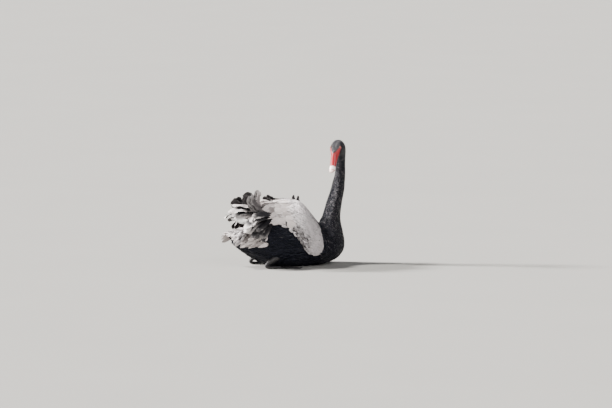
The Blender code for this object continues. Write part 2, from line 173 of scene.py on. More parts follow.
def through_rows(rows: Array, place: Array) -> Array:
    """Rows of a table at fractional places, on the Catmull-Rom cubic through each four neighbours.

    Args:
        rows: the table, one row for each whole place.
        place: any shape of places.

    Returns:
        An array of place's shape, with one more axis for the table's columns.
    """
    last = len(rows) - 1
    place = np.asarray(place, float)
    whole = np.clip(np.floor(place), 0, last - 1).astype(int)
    f = (place - whole)[..., None]
    before, here, there, after = (rows[np.clip(whole + k, 0, last)] for k in (-1, 0, 1, 2))
    return 0.5 * (
        2 * here
        + (there - before) * f
        + (2 * before - 5 * here + 4 * there - after) * f**2
        + (3 * here - before - 3 * there + after) * f**3
    )


def above_floor(points: Array) -> Array:
    """Points squeezed towards, never onto, the floor below the fade: fade * e^(z/fade - 1)."""
    squeezed = FLOOR_FADE * np.exp(np.minimum(points[..., 2] / FLOOR_FADE - 1, 0.0))
    return stacked(points[..., 0], points[..., 1], np.maximum(points[..., 2], squeezed))


@dataclass
class MeshPlan:
    """Points, faces and their data before they become a mesh.

    Maps hold one UV for each face corner, quads first. Values hold one number, or three, for each point.
    """

    points: Array
    quads: Array
    triangles: Array
    maps: dict[str, Array]
    values: dict[str, Array] = field(default_factory=dict)

    def outward(self) -> "MeshPlan":
        """Turns every face over if the signed volume, the sum of corner determinants, is negative.

        Returns:
            The plan itself.
        """
        corners = np.concatenate([self.quads[:, [0, 1, 2]], self.quads[:, [0, 2, 3]], self.triangles])
        a, b, c = (self.points[corners[:, k]] for k in range(3))
        if np.einsum("ij,ij->i", a, np.cross(b, c)).sum() < 0:
            corner_count = self.quads.size
            self.quads = self.quads[:, ::-1]
            self.triangles = self.triangles[:, ::-1]
            for name, table in self.maps.items():
                fours = table[:corner_count].reshape(-1, 4, 2)[:, ::-1]
                threes = table[corner_count:].reshape(-1, 3, 2)[:, ::-1]
                self.maps[name] = np.concatenate([fours.reshape(-1, 2), threes.reshape(-1, 2)])
        return self


def joined(plans: list[MeshPlan]) -> MeshPlan:
    """Several plans as one, each made to face outwards first.

    Args:
        plans: plans with the same maps and values.

    Returns:
        One plan that holds them all.
    """
    plans = [plan.outward() for plan in plans]
    starts = np.cumsum([0] + [len(plan.points) for plan in plans[:-1]])
    maps = {}
    for name in plans[0].maps:
        fours = [plan.maps[name][: plan.quads.size] for plan in plans]
        threes = [plan.maps[name][plan.quads.size :] for plan in plans]
        maps[name] = np.concatenate(fours + threes)
    return MeshPlan(
        points=np.concatenate([plan.points for plan in plans]),
        quads=np.concatenate([plan.quads + start for plan, start in zip(plans, starts)]),
        triangles=np.concatenate([plan.triangles + start for plan, start in zip(plans, starts)]),
        maps=maps,
        values={name: np.concatenate([plan.values[name] for plan in plans]) for name in plans[0].values},
    )


def put_in_scene(name: str, plan: MeshPlan, material: Material, slot: str, *replaced: str) -> None:
    """Makes a smooth mesh object at the origin from a plan, riding on the model's root body.

    Args:
        name: the object's and the mesh's name.
        plan: the points, faces, UV maps and point values.
        material: the object's one material.
        slot: the record's material slot that the object belongs to; not used.
        replaced: the nodes of the frame that the object takes the place of.
    """
    plan = plan.outward()
    corners = np.concatenate([plan.quads.ravel(), plan.triangles.ravel()]).astype(np.int32)
    sizes = np.concatenate([np.full(len(plan.quads), 4), np.full(len(plan.triangles), 3)])
    starts = np.concatenate([[0], np.cumsum(sizes)[:-1]]).astype(np.int32)
    mesh = bpy.data.meshes.new(name)
    mesh.vertices.add(len(plan.points))
    mesh.vertices.foreach_set("co", plan.points.astype(np.float32).ravel())
    mesh.loops.add(len(corners))
    mesh.loops.foreach_set("vertex_index", corners)
    mesh.polygons.add(len(sizes))
    mesh.polygons.foreach_set("loop_start", starts)
    mesh.update(calc_edges=True)
    mesh.validate()
    for label, table in plan.maps.items():
        mesh.uv_layers.new(name=label).data.foreach_set("uv", table.astype(np.float32).ravel())
    for label, numbers in plan.values.items():
        kind, entry = ("FLOAT_VECTOR", "vector") if numbers.ndim == 2 else ("FLOAT", "value")
        layer = mesh.attributes.new(label, kind, "POINT")
        layer.data.foreach_set(entry, numbers.astype(np.float32).ravel())
    mesh.shade_smooth()
    mesh.materials.append(material)
    piece = bpy.data.objects.new(name, mesh)
    bpy.context.scene.collection.objects.link(piece)
    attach(piece, ROOT)
    if replaced:
        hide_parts(*replaced)
    LOG.info("%s: %d faces", name, len(sizes))


def grid_quads(rows: int, columns: int, wrap: bool) -> tuple[Array, Array]:
    """Quads over a grid of points, and where each of their corners lies in the grid.

    Args:
        rows: how many rows of points.
        columns: how many points in a row.
        wrap: whether the last column joins the first.

    Returns:
        Point numbers of the quads, and each corner's (column share, row share), from 0 to 1.
    """
    spans = columns if wrap else columns - 1
    i, j = np.meshgrid(np.arange(rows - 1), np.arange(spans), indexing="ij")
    row = stacked(i, i + 1, i + 1, i).reshape(-1, 4)
    column = stacked(j, j, j + 1, j + 1).reshape(-1, 4)
    quads = row * columns + column % columns
    return quads, stacked(column / spans, row / (rows - 1))


def tube_plan(rings: Array, values: dict[str, Array]) -> MeshPlan:
    """A closed tube: quads between neighbouring rings, and a fan round the middle of each end ring.

    Args:
        rings: points, as rows of rings.
        values: point values, as rows of rings.

    Returns:
        The plan, its sides unrolled over most of the bake map and its two ends in the strip above.
    """
    count, sides = rings.shape[:2]
    quads, corners = grid_quads(count, sides, wrap=True)
    angle = turns(sides)
    hubs = count * sides + np.arange(2)
    fans, fan_uv = [], []
    for end, (hub, first) in enumerate(zip(hubs, (0, (count - 1) * sides))):
        rim = first + np.arange(sides)
        following = first + (np.arange(sides) + 1) % sides
        fan = stacked(np.full(sides, hub), following, rim)
        middle = np.array([0.25 + 0.5 * end, DISC_HEIGHT])
        disc = middle + DISC_RADIUS * stacked(np.cos(angle), np.sin(angle))
        uv = np.stack([np.tile(middle, (sides, 1)), np.roll(disc, -1, axis=0), disc], axis=1)
        fans.append(fan if end == 0 else fan[:, ::-1])
        fan_uv.append(uv if end == 0 else uv[:, ::-1])
    uv = corners.reshape(-1, 2) * TUBE_PATCH + MAP_MARGIN
    filled = {}
    for name, table in values.items():
        flat = table.reshape(count * sides, *table.shape[2:])
        filled[name] = np.concatenate([flat, table[[0, -1]].mean(axis=1)])
    return MeshPlan(
        points=np.concatenate([rings.reshape(-1, 3), rings[[0, -1]].mean(axis=1)]),
        quads=quads,
        triangles=np.concatenate(fans),
        maps={BAKE_MAP: np.concatenate([uv, np.concatenate(fan_uv).reshape(-1, 2)])},
        values=filled,
    )


def shell_plan(outer: Array, inner: Array, values: dict[str, Array], cell: Cell = WHOLE_MAP) -> MeshPlan:
    """A closed slab between two sheets of points: both sheets, and quads round their rim.

    Args:
        outer: points of the outer sheet, as rows.
        inner: points of the inner sheet, as rows.
        values: point values, as rows, the same for both sheets.
        cell: the part of the bake map to fill, as left, bottom, width and height.

    Returns:
        The plan: the outer sheet on the left of the cell, the inner on its right, the rim above them.
    """
    rows, columns = outer.shape[:2]
    half = rows * columns
    quads, corners = grid_quads(rows, columns, wrap=False)
    rim = np.concatenate(
        [
            np.arange(columns),
            np.arange(1, rows) * columns + columns - 1,
            (rows - 1) * columns + np.arange(columns - 2, -1, -1),
            np.arange(rows - 2, 0, -1) * columns,
        ]
    )
    ahead = np.roll(rim, -1)
    rim_quads = stacked(rim, ahead, half + ahead, half + rim)
    start = np.arange(len(rim)) / len(rim)
    end = start + 1 / len(rim)
    low, high = RIM_STRIP
    rim_corners = (start, low), (end, low), (end, high), (start, high)
    rim_uv = np.stack([stacked(*corner) for corner in rim_corners], axis=1)
    outer_uv = corners * SHEET_PATCH + MAP_MARGIN
    inner_uv = (corners * SHEET_PATCH + SECOND_SHEET)[:, ::-1]
    uv = np.concatenate([outer_uv, inner_uv, rim_uv]).reshape(-1, 2)
    left, bottom, width, height = cell
    flat = {
        name: np.concatenate([table.reshape(half, *table.shape[2:])] * 2)
        for name, table in values.items()
    }
    return MeshPlan(
        points=np.concatenate([outer.reshape(-1, 3), inner.reshape(-1, 3)]),
        quads=np.concatenate([quads, half + quads[:, ::-1], rim_quads[:, ::-1]]),
        triangles=NO_TRIANGLES,
        maps={BAKE_MAP: uv * np.array([width, height]) + np.array([left, bottom])},
        values=flat,
    )


class Surface:
    """A sheet of two parameters, along and around, whose outward side feathers can lie on."""

    step = 1e-3
    facing = 1

    def point(self, along: Array, around: Array) -> Array:
        """The sheet's points at two parameters."""
        raise NotImplementedError

    def slopes(self, along: Array, around: Array) -> tuple[Array, Array]:
        """How far a point moves for a unit of each parameter, by central differences.

        Args:
            along: places along the sheet.
            around: places across it.

        Returns:
            The slope by along, and the slope by around.
        """
        d = self.step
        by_along = self.point(along + d, around) - self.point(along - d, around)
        by_around = self.point(along, around + d) - self.point(along, around - d)
        return by_along / (2 * d), by_around / (2 * d)

    def outward(self, along: Array, around: Array) -> Array:
        """Unit normals, from the cross product of the two slopes."""
        return unit(np.cross(*self.slopes(along, around))) * self.facing


@dataclass
class BodyLoft(Surface):
    """The body's outline: a flat oval section at each station, from the tail root to the forehead."""

    neck_axis_x: float = 0.252
    rows: Array = field(default_factory=lambda: np.array(list(STATIONS.values())))

    def sections(self, along: Array) -> tuple[Array, Array, Array, Array]:
        """The flat sections at some places of the loft.

        Args:
            along: places, in stations.

        Returns:
            Centres, dorsal half axes, left half axes, and the fullness low down.
        """
        table = through_rows(self.rows, along)
        d_reach, d_z, v_reach, v_z, half_width, low, turn = np.moveaxis(table, -1, 0)
        turn = np.radians(turn)
        zero = np.zeros_like(turn)
        facing = stacked(np.cos(turn), np.sin(turn), zero)
        side = stacked(-np.sin(turn), np.cos(turn), zero)
        axis = np.array([self.neck_axis_x, 0.0, 0.0])
        dorsal = axis + facing * d_reach[..., None] + UP * d_z[..., None]
        ventral = axis + facing * v_reach[..., None] + UP * v_z[..., None]
        return (dorsal + ventral) / 2, (dorsal - ventral) / 2, side * half_width[..., None], low

    def point(self, along: Array, around: Array) -> Array:
        """centre + up cos(a) + side sin(a) (1 - low cos(a)), a running from the back down the left side.

        Args:
            along: places, in stations.
            around: angles a.

        Returns:
            The points.
        """
        centre, up, side, low = self.sections(along)
        c, s = np.cos(around)[..., None], np.sin(around)[..., None]
        return centre + up * c + side * s * (1 - low[..., None] * c)

    def radial(self, along: Array, around: Array) -> Array:
        """Unit vectors in the section's plane, away from its middle."""
        _, up, side, _ = self.sections(along)
        return unit(unit(up) * np.cos(around)[..., None] + unit(side) * np.sin(around)[..., None])

    def raised(self, along: Array, around: Array, height: Array) -> Array:
        """The loft's points moved out by a height."""
        return self.point(along, around) + self.radial(along, around) * height[..., None]


@dataclass
class WingSheet(Surface):
    """The top of a folded wing: along runs forward from its rear end, around runs from the back down."""

    loft: BodyLoft
    side: int
    top_angle: float = math.radians(5)
    ridge: float = 0.24
    ridge_spread: float = 0.34
    groove: float = 0.35
    side_lift: float = 0.015
    edge_lift: float = 0.006
    edge_down: float = 0.80
    edge_front: float = 0.88
    past_front: float = 1.05
    bedding: float = 0.005
    coat: float = 0.004

    def __post_init__(self) -> None:
        """The left wing's slopes cross outwards, the right wing's inwards."""
        self.facing = self.side

    def seat(self, along: Array, around: Array) -> tuple[Array, Array, Array]:
        """Where a point of the wing sits on the body.

        Args:
            along: share of the way forward, below 0 behind the wing.
            around: share of the way from the back down to the lower edge.

        Returns:
            The place and the angle on the loft, and the height above it.
        """
        rows = np.array(WING_ROWS)
        last = len(rows) - 1
        inside = through_rows(rows, np.clip(along, 0, self.past_front) * last)
        place, lower, top = np.moveaxis(inside, -1, 0)
        place = place + np.minimum(along, 0) * last * (rows[1, 0] - rows[0, 0])
        angle = self.top_angle + (np.radians(lower) - self.top_angle) * around
        swept = place - WING_FRONT_SWEEP * around * ease(along, 0.5, 1.0)
        dip = 1 - self.groove * (1 - ease(around, 0.0, self.ridge))
        bump = hump(around - self.ridge, self.ridge_spread)
        high = self.side_lift + np.maximum(top - self.side_lift, 0) * bump * dip
        down = ease(around, self.ridge / 2, 2 * self.ridge)
        full = np.where(top < self.side_lift, top + (self.side_lift - top) * down, high)
        edges = (1 - ease(around, self.edge_down, 1.0)) * (1 - ease(along, self.edge_front, 1.0))
        return swept, angle, self.edge_lift + (full - self.edge_lift) * edges

    def lifted(self, along: Array, around: Array, extra: float) -> Array:
        """The loft's points under the wing, moved out by the wing's height and an extra."""
        place, angle, height = self.seat(along, around)
        return self.loft.raised(place, angle * self.side, height + extra)

    def point(self, along: Array, around: Array) -> Array:
        """The wing's top, the level that its feather tips reach."""
        return self.lifted(along, around, 0.0)

    def bed(self, along: Array, around: Array) -> Array:
        """The wing's underside, bedded in the body."""
        place, angle, height = self.seat(along, around)
        return self.loft.raised(place, angle * self.side, np.full_like(height, -self.bedding))


class Outline(Enum):
    """How a vane's width runs from root to tip: widening share, bluntness of the tip, and its power."""

    ROUND = (0.30, 3.0, 0.55)
    TAPERED = (0.25, 1.7, 0.80)
    BROAD = (0.35, 5.0, 0.50)

    def width(self, share: Array) -> Array:
        """(0.4 + 0.6 ease(t)) (1 - t^blunt)^power, for the share t of the way to the tip."""
        widening, blunt, power = self.value
        return (0.4 + 0.6 * ease(share, 0.0, widening)) * (1 - share**blunt) ** power


@dataclass
class Coat:
    """A coat of small feathers on a sheet, each a thin closed vane that follows the sheet.

    gap_mm is the length of each feather that shows, by place along the sheet. Pale and tone are the
    ranges that each feather's fringe and colour are drawn from; sway and droop are in degrees.
    """

    name: str
    surface: Surface
    along: Span
    around: Span
    gap_places: Row
    gap_mm: Row
    outline: Outline = Outline.ROUND
    overlap: float = 2.9
    breadth: float = 1.25
    rings: int = 6
    depth: float = 0.003
    thickness: float = 0.0005
    camber: float = 0.10
    sway: float = 7.0
    droop: float = 0.0
    tip_lift: float = 0.0006
    tip_rise: float = 0.0
    pale: Span = (0.0, 0.8)
    tone: Span = (0.0, 1.0)
    # Painted shade: how far feathers are darkened at random towards high around and low along.
    edge_shade: float = 0.0
    edge_shade_down: Span = (0.55, 0.85)
    edge_shade_along: Span = (0.60, 0.80)
    longest_step: float = 1.6
    length_range: Span = (0.88, 1.15)
    width_range: Span = (0.9, 1.12)
    last_ring: float = 0.93
    deepest_share: float = 0.45
    keel_drop: float = 0.05
    patch_width: float = 0.003
    seed: int = 1

    def roots(self, rng: Random) -> tuple[Array, Array]:
        """Staggered rows of roots, even in arc length, thinned where the rows crowd together.

        Args:
            rng: the source of the small unevenness.

        Returns:
            The along and around parameters of every root.
        """
        ring = np.linspace(*self.around, 241)
        along, row, rows = self.along[0], 0, []
        while along < self.along[1]:
            places = np.full_like(ring, along)
            speed = np.linalg.norm(self.surface.slopes(places, ring)[0], axis=-1)
            fast = float(np.percentile(speed, 80))
            line = self.surface.point(places, ring)
            steps = np.linalg.norm(np.diff(line, axis=0), axis=-1)
            arc = np.concatenate([[0.0], np.cumsum(steps)])
            gap = float(np.interp(along, self.gap_places, self.gap_mm)) / 1000
            count = max(int(arc[-1] / gap), 3)
            even = (np.arange(count) + 0.5 * (row % 2) + rng.uniform(0.1, 0.4, count)) / count
            around = np.interp(even * arc[-1], arc, ring)
            kept = rng.random(count) < np.interp(around, ring, speed) / fast * 1.15
            wander = rng.uniform(-0.22, 0.22, count) * gap / fast
            rows.append(stacked(along + wander, around)[kept])
            along += gap / fast
            row += 1
        return tuple(np.moveaxis(np.concatenate(rows), -1, 0))

    def plan(self, keep: Callable[[Array, Array, Array], Array] | None = None) -> MeshPlan:
        """All the coat's feathers as one plan.

        Each vane is a lens in section: two knife edges, a ridge above and a keel below. Its middle line
        runs over the sheet against the along parameter, rising from the skin to the coat's level.

        Args:
            keep: says which roots stay, from their parameters and their points.

        Returns:
            The plan, each feather with a patch of the bake map at its root's place on the sheet.
        """
        rng = np.random.default_rng(self.seed)
        along, around = self.roots(rng)
        if keep is not None:
            kept = keep(along, around, self.surface.point(along, around))
            along, around = along[kept], around[kept]
        count = len(along)
        gap = np.interp(along, self.gap_places, self.gap_mm) / 1000
        length = gap * self.overlap * rng.uniform(*self.length_range, count)
        width = gap * self.breadth * rng.uniform(*self.width_range, count)
        heading = rng.normal(0.0, self.sway, count) + self.droop * ease(around, 0.3, 1.0)
        heading = np.radians(heading)
        by_along, by_around = self.surface.slopes(along, around)
        run = -np.cos(heading) * length / np.linalg.norm(by_along, axis=-1)
        run = np.clip(run, -self.longest_step, 0.0)
        swerve = np.sin(heading) * length / np.linalg.norm(by_around, axis=-1)
        share = np.append(np.linspace(0.0, self.last_ring, self.rings), 1.0)
        along_line = along[:, None] + run[:, None] * share
        around_line = around[:, None] + swerve[:, None] * share
        normal = self.surface.outward(along_line, around_line)
        stand = rng.normal(0.0, self.tip_lift, count)[:, None] * share**2
        deep = np.minimum(self.depth, self.deepest_share * gap)[:, None]
        rise = -deep * (1 - share) + stand + self.tip_rise * ease(share, 0.0, 0.35)
        line = self.surface.point(along_line, around_line) + normal * rise[..., None]
        across = unit(np.cross(normal, unit(np.gradient(line, axis=1))))
        roll = np.radians(rng.normal(0.0, self.sway, count))[:, None, None]
        edge = across * np.cos(roll) + normal * np.sin(roll)
        half = (width[:, None] / 2 * self.outline.width(share))[..., None]
        thick = self.thickness / 2 * (1 - 0.6 * share)[None, :, None]
        sink = normal * half * self.camber
        rails = (line - edge * half - sink, line + normal * thick)
        rails += (line + edge * half - sink, line - normal * thick)
        rings = np.stack(rails, axis=2)[:, :-1]
        points = above_floor(np.concatenate([rings.reshape(count, -1, 3), line[:, -1:]], axis=1))
        local_x = np.append(np.tile([-1.0, 0.0, 1.0, 0.0], self.rings), 0.0)
        local_t = np.append(np.repeat(share[:-1], 4), 1.0)
        keel = np.append(np.tile([0.0, 0.0, 0.0, self.keel_drop], self.rings), 0.0)
        tone = rng.uniform(*self.tone, count)
        # Painted shade: some feathers darkened at random towards the sheet's lower rear edge.
        mottled = self.edge_shade * ease(around, *self.edge_shade_down) * (1 - ease(along, *self.edge_shade_along))
        tone = np.maximum(tone - mottled * rng.random(count), 0.0)
        vane = stacked(local_x, local_t, tone[:, None])
        pale = np.repeat(rng.uniform(*self.pale, count), len(local_x))
        quads, triangles = self.vane_faces()
        offsets = (np.arange(count) * len(local_x))[:, None, None]
        uv = self.patches(along, around, local_x, local_t + keel)
        quads = (quads[None] + offsets).reshape(-1, 4)
        triangles = (triangles[None] + offsets).reshape(-1, 3)
        corners = np.concatenate([quads.ravel(), triangles.ravel()])
        return MeshPlan(
            points=points.reshape(-1, 3),
            quads=quads,
            triangles=triangles,
            maps={BAKE_MAP: uv.reshape(-1, 2)[corners]},
            values={"vane": vane.reshape(-1, 3), "pale": pale},
        )

    def vane_faces(self) -> tuple[Array, Array]:
        """Faces of one vane.

        Returns:
            The four sides between rings as quads; two triangles at the root and four at the tip.
        """
        quads, _ = grid_quads(self.rings, 4, wrap=True)
        last = 4 * (self.rings - 1)
        tip = 4 * self.rings
        rim = last + np.arange(4)
        fan = stacked(rim, np.full(4, tip), last + (np.arange(4) + 1) % 4)
        root = np.array([[0, 1, 3], [1, 2, 3]])
        return quads, np.concatenate([root, fan])

    def patches(self, along: Array, around: Array, local_x: Array, local_t: Array) -> Array:
        """Each vane's small patch of the bake map, at its root's place on the unrolled sheet.

        Args:
            along: the roots' along parameters.
            around: the roots' around parameters.
            local_x: each vane point's place across, from -1 to 1.
            local_t: each vane point's place along the vane, from 0 to 1.

        Returns:
            One UV for each vane point, by feather.
        """
        room = 1 - 2 * MAP_MARGIN
        spread_u = (around - around.min()) / np.ptp(around)
        spread_v = (along - along.min()) / np.ptp(along)
        u = MAP_MARGIN + room * spread_u[:, None] + self.patch_width / 2 * local_x
        v = MAP_MARGIN + room * spread_v[:, None] + self.patch_width * (local_t - 0.5)
        return stacked(u, v)


def frayed(share: Array, x: Array, depth: float, phase: float) -> Array:
    """How much of its width a vane keeps: 1, less a few narrow splits between barbs and a slight waver.

    Each split is a Gaussian in the share of the way to the tip, at a place that the phase moves.

    Args:
        share: share of the way to the tip.
        x: place across, from -1 to 1.
        depth: how deep the splits go, as a share of the half width.
        phase: sets where the splits lie, other places on each side.

    Returns:
        The factor on the width.
    """
    share, x = share[:, None], x[None, :]
    total = np.zeros(np.broadcast_shapes(share.shape, x.shape))
    for index, place in enumerate((0.38, 0.52, 0.66, 0.78, 0.89)):
        centre = place + 0.06 * np.sin(7 * phase + 3 * index + 2 * np.sign(x))
        deep = 0.6 + 0.4 * np.sin(11 * phase + 5 * index + np.sign(x))
        total = total + deep * hump(share - centre, 0.014)
    waver = 0.02 * np.sin(69 * share + phase) + 0.02 * np.sin(41 * share + 2 * phase)
    return 1 + np.abs(x) * (waver - depth * x**2 * total)


@dataclass(kw_only=True)
class LongFeather:
    """What all long feathers share: a thin closed vane, spread to both sides of a middle line."""

    length: float
    width: float
    camber: float
    thickness: float
    notch: float
    pale: float
    rows: int
    columns: int
    narrowest: float
    phase: float = 0.0
    tone: float = 0.5
    outline: Outline = Outline.BROAD
    edge_thinning: float = 0.65
    # Painted shade on the underside: a darker tone and less fringe.
    shaded_underside_tone: float = -0.2
    shaded_underside_pale: float = 0.10

    def course(self, share: Array) -> tuple[Array, Array, Array]:
        """The middle line's points, and the vane's edgeways and upward directions along it."""
        raise NotImplementedError

    def bow(self, share: Array, x: Array, half: Array) -> Array:
        """How high the vane stands over its middle line."""
        raise NotImplementedError

    def plan(self, cell: Cell) -> MeshPlan:
        """The feather as a shell, its underside darker and almost without the pale fringe, as painted
        shade.

        Args:
            cell: the feather's part of the bake map.

        Returns:
            The plan, with the vane and pale values that the feather finish reads.
        """
        share = np.linspace(0.0, 1.0, self.rows)
        x = np.linspace(-1.0, 1.0, self.columns)
        line, edge, face = self.course(share)
        half = (self.width / 2 * np.maximum(self.outline.width(share), self.narrowest))[:, None]
        spread = half * x * frayed(share, x, self.notch, self.phase)
        bow = self.bow(share, x, half)
        sheet = line[:, None] + edge[:, None] * spread[..., None] + face[:, None] * bow[..., None]
        thick = self.thickness * (1 - self.edge_thinning * np.abs(x)) / 2
        body = face[:, None] * thick[None, :, None]
        vane = stacked(x[None, :], share[:, None], self.tone)
        values = {"vane": vane, "pale": np.full(vane.shape[:2], self.pale)}
        plan = shell_plan(above_floor(sheet + body), above_floor(sheet - body), values, cell)
        under = slice(len(x) * len(share), None)
        plan.values["vane"][under, 2] = self.shaded_underside_tone
        plan.values["pale"][under] *= self.shaded_underside_pale
        return plan


@dataclass(kw_only=True)
class LaidFeather(LongFeather):
    """A long feather laid on a sheet, from its root against the sheet's along parameter."""

    surface: Surface
    along: float
    around: float
    heading: float = 0.0
    level: Span = (0.0, 0.001)
    camber: float = 0.10
    thickness: float = 0.0008
    notch: float = 0.15
    pale: float = 0.6
    rows: int = 26
    columns: int = 9
    narrowest: float = 0.08

    def course(self, share: Array) -> tuple[Array, Array, Array]:
        """A middle line over the sheet, between its levels at root and tip, with the vane flat across it.

        Args:
            share: shares of the way to the tip.

        Returns:
            The line's points, and the edgeways and upward directions.
        """
        slopes = self.surface.slopes(np.array(self.along), np.array(self.around))
        heading = math.radians(self.heading)
        along = self.along - math.cos(heading) * self.length / np.linalg.norm(slopes[0]) * share
        around = self.around + math.sin(heading) * self.length / np.linalg.norm(slopes[1]) * share
        normal = self.surface.outward(along, around)
        line = self.surface.point(along, around) + normal * between(self.level, share)[:, None]
        return line, unit(np.cross(normal, unit(np.gradient(line, axis=0)))), normal

    def bow(self, share: Array, x: Array, half: Array) -> Array:
        """The edges droop by camber x^2 of the half width."""
        return self.camber * half * (1 - x**2) - self.camber * half


@dataclass(kw_only=True)
class Blade(LongFeather):
    """A long feather that sets out along a heading and curls as it goes, with rippled edges.

    Heading 0 is backward and positive is outward; angles are in degrees. The root is given as it
    would be on the right side, and is mirrored on the left.
    """

    root: Triple
    heading: float
    climb: float
    curl: float
    roll: float
    side: int
    ripple: float = 0.0
    waves: float = 3.0
    edge_lag: float = 1.3
    camber: float = 0.22
    thickness: float = 0.0009
    notch: float = 0.0
    pale: float = 0.3
    rows: int = 54
    columns: int = 15
    narrowest: float = 0.10

    def course(self, share: Array) -> tuple[Array, Array, Array]:
        """A middle line that turns by the curl, its steps summed from the root.

        Args:
            share: shares of the way to the tip.

        Returns:
            The line's points, and the edgeways and upward directions, turned by the roll.
        """
        heading = math.radians(self.heading)
        tilt = np.radians(self.climb + self.curl * share)[:, None]
        turn = (np.radians(self.roll) * (1 + 2 * share) / 3)[:, None]
        back = np.array([-math.cos(heading), self.side * math.sin(heading), 0.0])
        across = np.array([math.sin(heading), self.side * math.cos(heading), 0.0])
        along = np.cos(tilt) * back + np.sin(tilt) * UP
        lifted = unit(np.cross(across, along)) * self.side
        edge = across * np.cos(turn) - lifted * np.sin(turn)
        face = lifted * np.cos(turn) + across * np.sin(turn)
        steps = along * self.length / (self.rows - 1)
        travelled = np.concatenate([np.zeros((1, 3)), np.cumsum(steps[:-1], axis=0)])
        return np.array(self.root) * np.array([1.0, -self.side, 1.0]) + travelled, edge, face

    def bow(self, share: Array, x: Array, half: Array) -> Array:
        """Camber (1 - x^2) of the half width, and a ripple x^2 sin(2 pi waves t) down the edges.

        Args:
            share: shares of the way to the tip.
            x: places across, from -1 to 1.
            half: half widths, as a column.

        Returns:
            The heights, the two edges out of step by the lag.
        """
        lag = self.edge_lag * np.sign(x) * (x != 0)
        swing = FULL_TURN * self.waves * share[:, None] + self.phase + lag
        swell = self.ripple * x**2 * np.sin(swing) * ease(share, 0.1, 0.5)[:, None]
        return self.camber * half * (1 - x**2) + swell


def feathers_plan(feathers: list[LongFeather]) -> MeshPlan:
    """Many long feathers as one plan, each with a cell of its own in a square table on the bake map.

    Args:
        feathers: the feathers.

    Returns:
        The plan.
    """
    columns = math.ceil(math.sqrt(len(feathers)))
    size = 1 / columns
    plans = []
    for index, feather in enumerate(feathers):
        row, column = divmod(index, columns)
        plans.append(feather.plan((column * size, row * size, size * 0.98, size * 0.98)))
    return joined(plans)


class Board:
    """A material's node tree, with short ways to add its nodes."""

    def __init__(self, name: str) -> None:
        """Starts a material with only a Principled shader and its output.

        Args:
            name: the material's name.
        """
        self.material = bpy.data.materials.new(name)
        self.material.use_nodes = True
        self.tree = self.material.node_tree
        self.shader = self.tree.nodes["Principled BSDF"]

    def node(self, kind: str, settings: dict[str, str], **inputs: object) -> bpy.types.Node:
        """A new node with some of its inputs fed; an underscore in a name stands for a space.

        Args:
            kind: the node's type, without the word that all shader nodes start with.
            settings: the node's own properties.
            inputs: a socket to link, or a value, for each input.

        Returns:
            The node.
        """
        node = self.tree.nodes.new(f"ShaderNode{kind}")
        for name, value in settings.items():
            setattr(node, name, value)
        for name, value in inputs.items():
            self.feed(node.inputs[name.replace("_", " ")], value)
        return node

    def set(self, **sockets: float) -> None:
        """Sets the shader's own sockets; an underscore in a name stands for a space."""
        for name, value in sockets.items():
            self.shader.inputs[name.replace("_", " ")].default_value = value

    def feed(self, target: Socket, value: object) -> None:
        """Gives a socket a link, or a number or colour of its own.

        Args:
            target: the socket to feed.
            value: a socket, a number or a colour.
        """
        if isinstance(value, Socket):
            self.tree.links.new(value, target)
        else:
            target.default_value = value

    def value(self, name: str, output: str = "Fac") -> Socket:
        """One of the mesh's point values, as a number unless another output is named."""
        return self.node("Attribute", {"attribute_name": name}).outputs[output]

    def place(self) -> Socket:
        """Object coordinates, in metres."""
        return self.node("TexCoord", {}).outputs["Object"]

    def sum(self, operation: str, first: object, second: object = 0.0) -> Socket:
        """One operation on two numbers.

        Args:
            operation: the math node's own word for it.
            first: a socket or a number.
            second: a socket or a number.

        Returns:
            The result's socket.
        """
        node = self.node("Math", {"operation": operation})
        self.feed(node.inputs[0], first)
        self.feed(node.inputs[1], second)
        return node.outputs[0]

    def ramp(self, value: Socket, low: float, high: float) -> Socket:
        """0 below low, 1 above high, smooth between."""
        smooth = {"interpolation_type": "SMOOTHSTEP"}
        return self.node("MapRange", smooth, Value=value, From_Min=low, From_Max=high).outputs["Result"]

    def blend(self, factor: Socket, first: object, second: object) -> Socket:
        """A colour between two, by a factor.

        Args:
            factor: the share of the second.
            first: a socket or a colour.
            second: a socket or a colour.

        Returns:
            The colour's socket.
        """
        node = self.node("Mix", {"data_type": "RGBA"}, Factor=factor)
        for socket, colour in ((node.inputs[6], first), (node.inputs[7], second)):
            self.feed(socket, colour if isinstance(colour, Socket) else (*colour, 1.0))
        return node.outputs[2]

    def noise(self, scale: float, detail: float = 3.0) -> Socket:
        """Cloudy noise on Object coordinates."""
        return self.node("TexNoise", {}, Scale=scale, Detail=detail, Vector=self.place()).outputs["Fac"]

    def colour(self, value: Socket) -> None:
        """Links the base colour."""
        self.feed(self.shader.inputs["Base Color"], value)

    def bump(self, height: Socket, strength: float, distance: float) -> None:
        """Links a bump in metres to the shader's normal."""
        node = self.node("Bump", {}, Strength=strength, Distance=distance, Height=height)
        self.feed(self.shader.inputs["Normal"], node.outputs["Normal"])


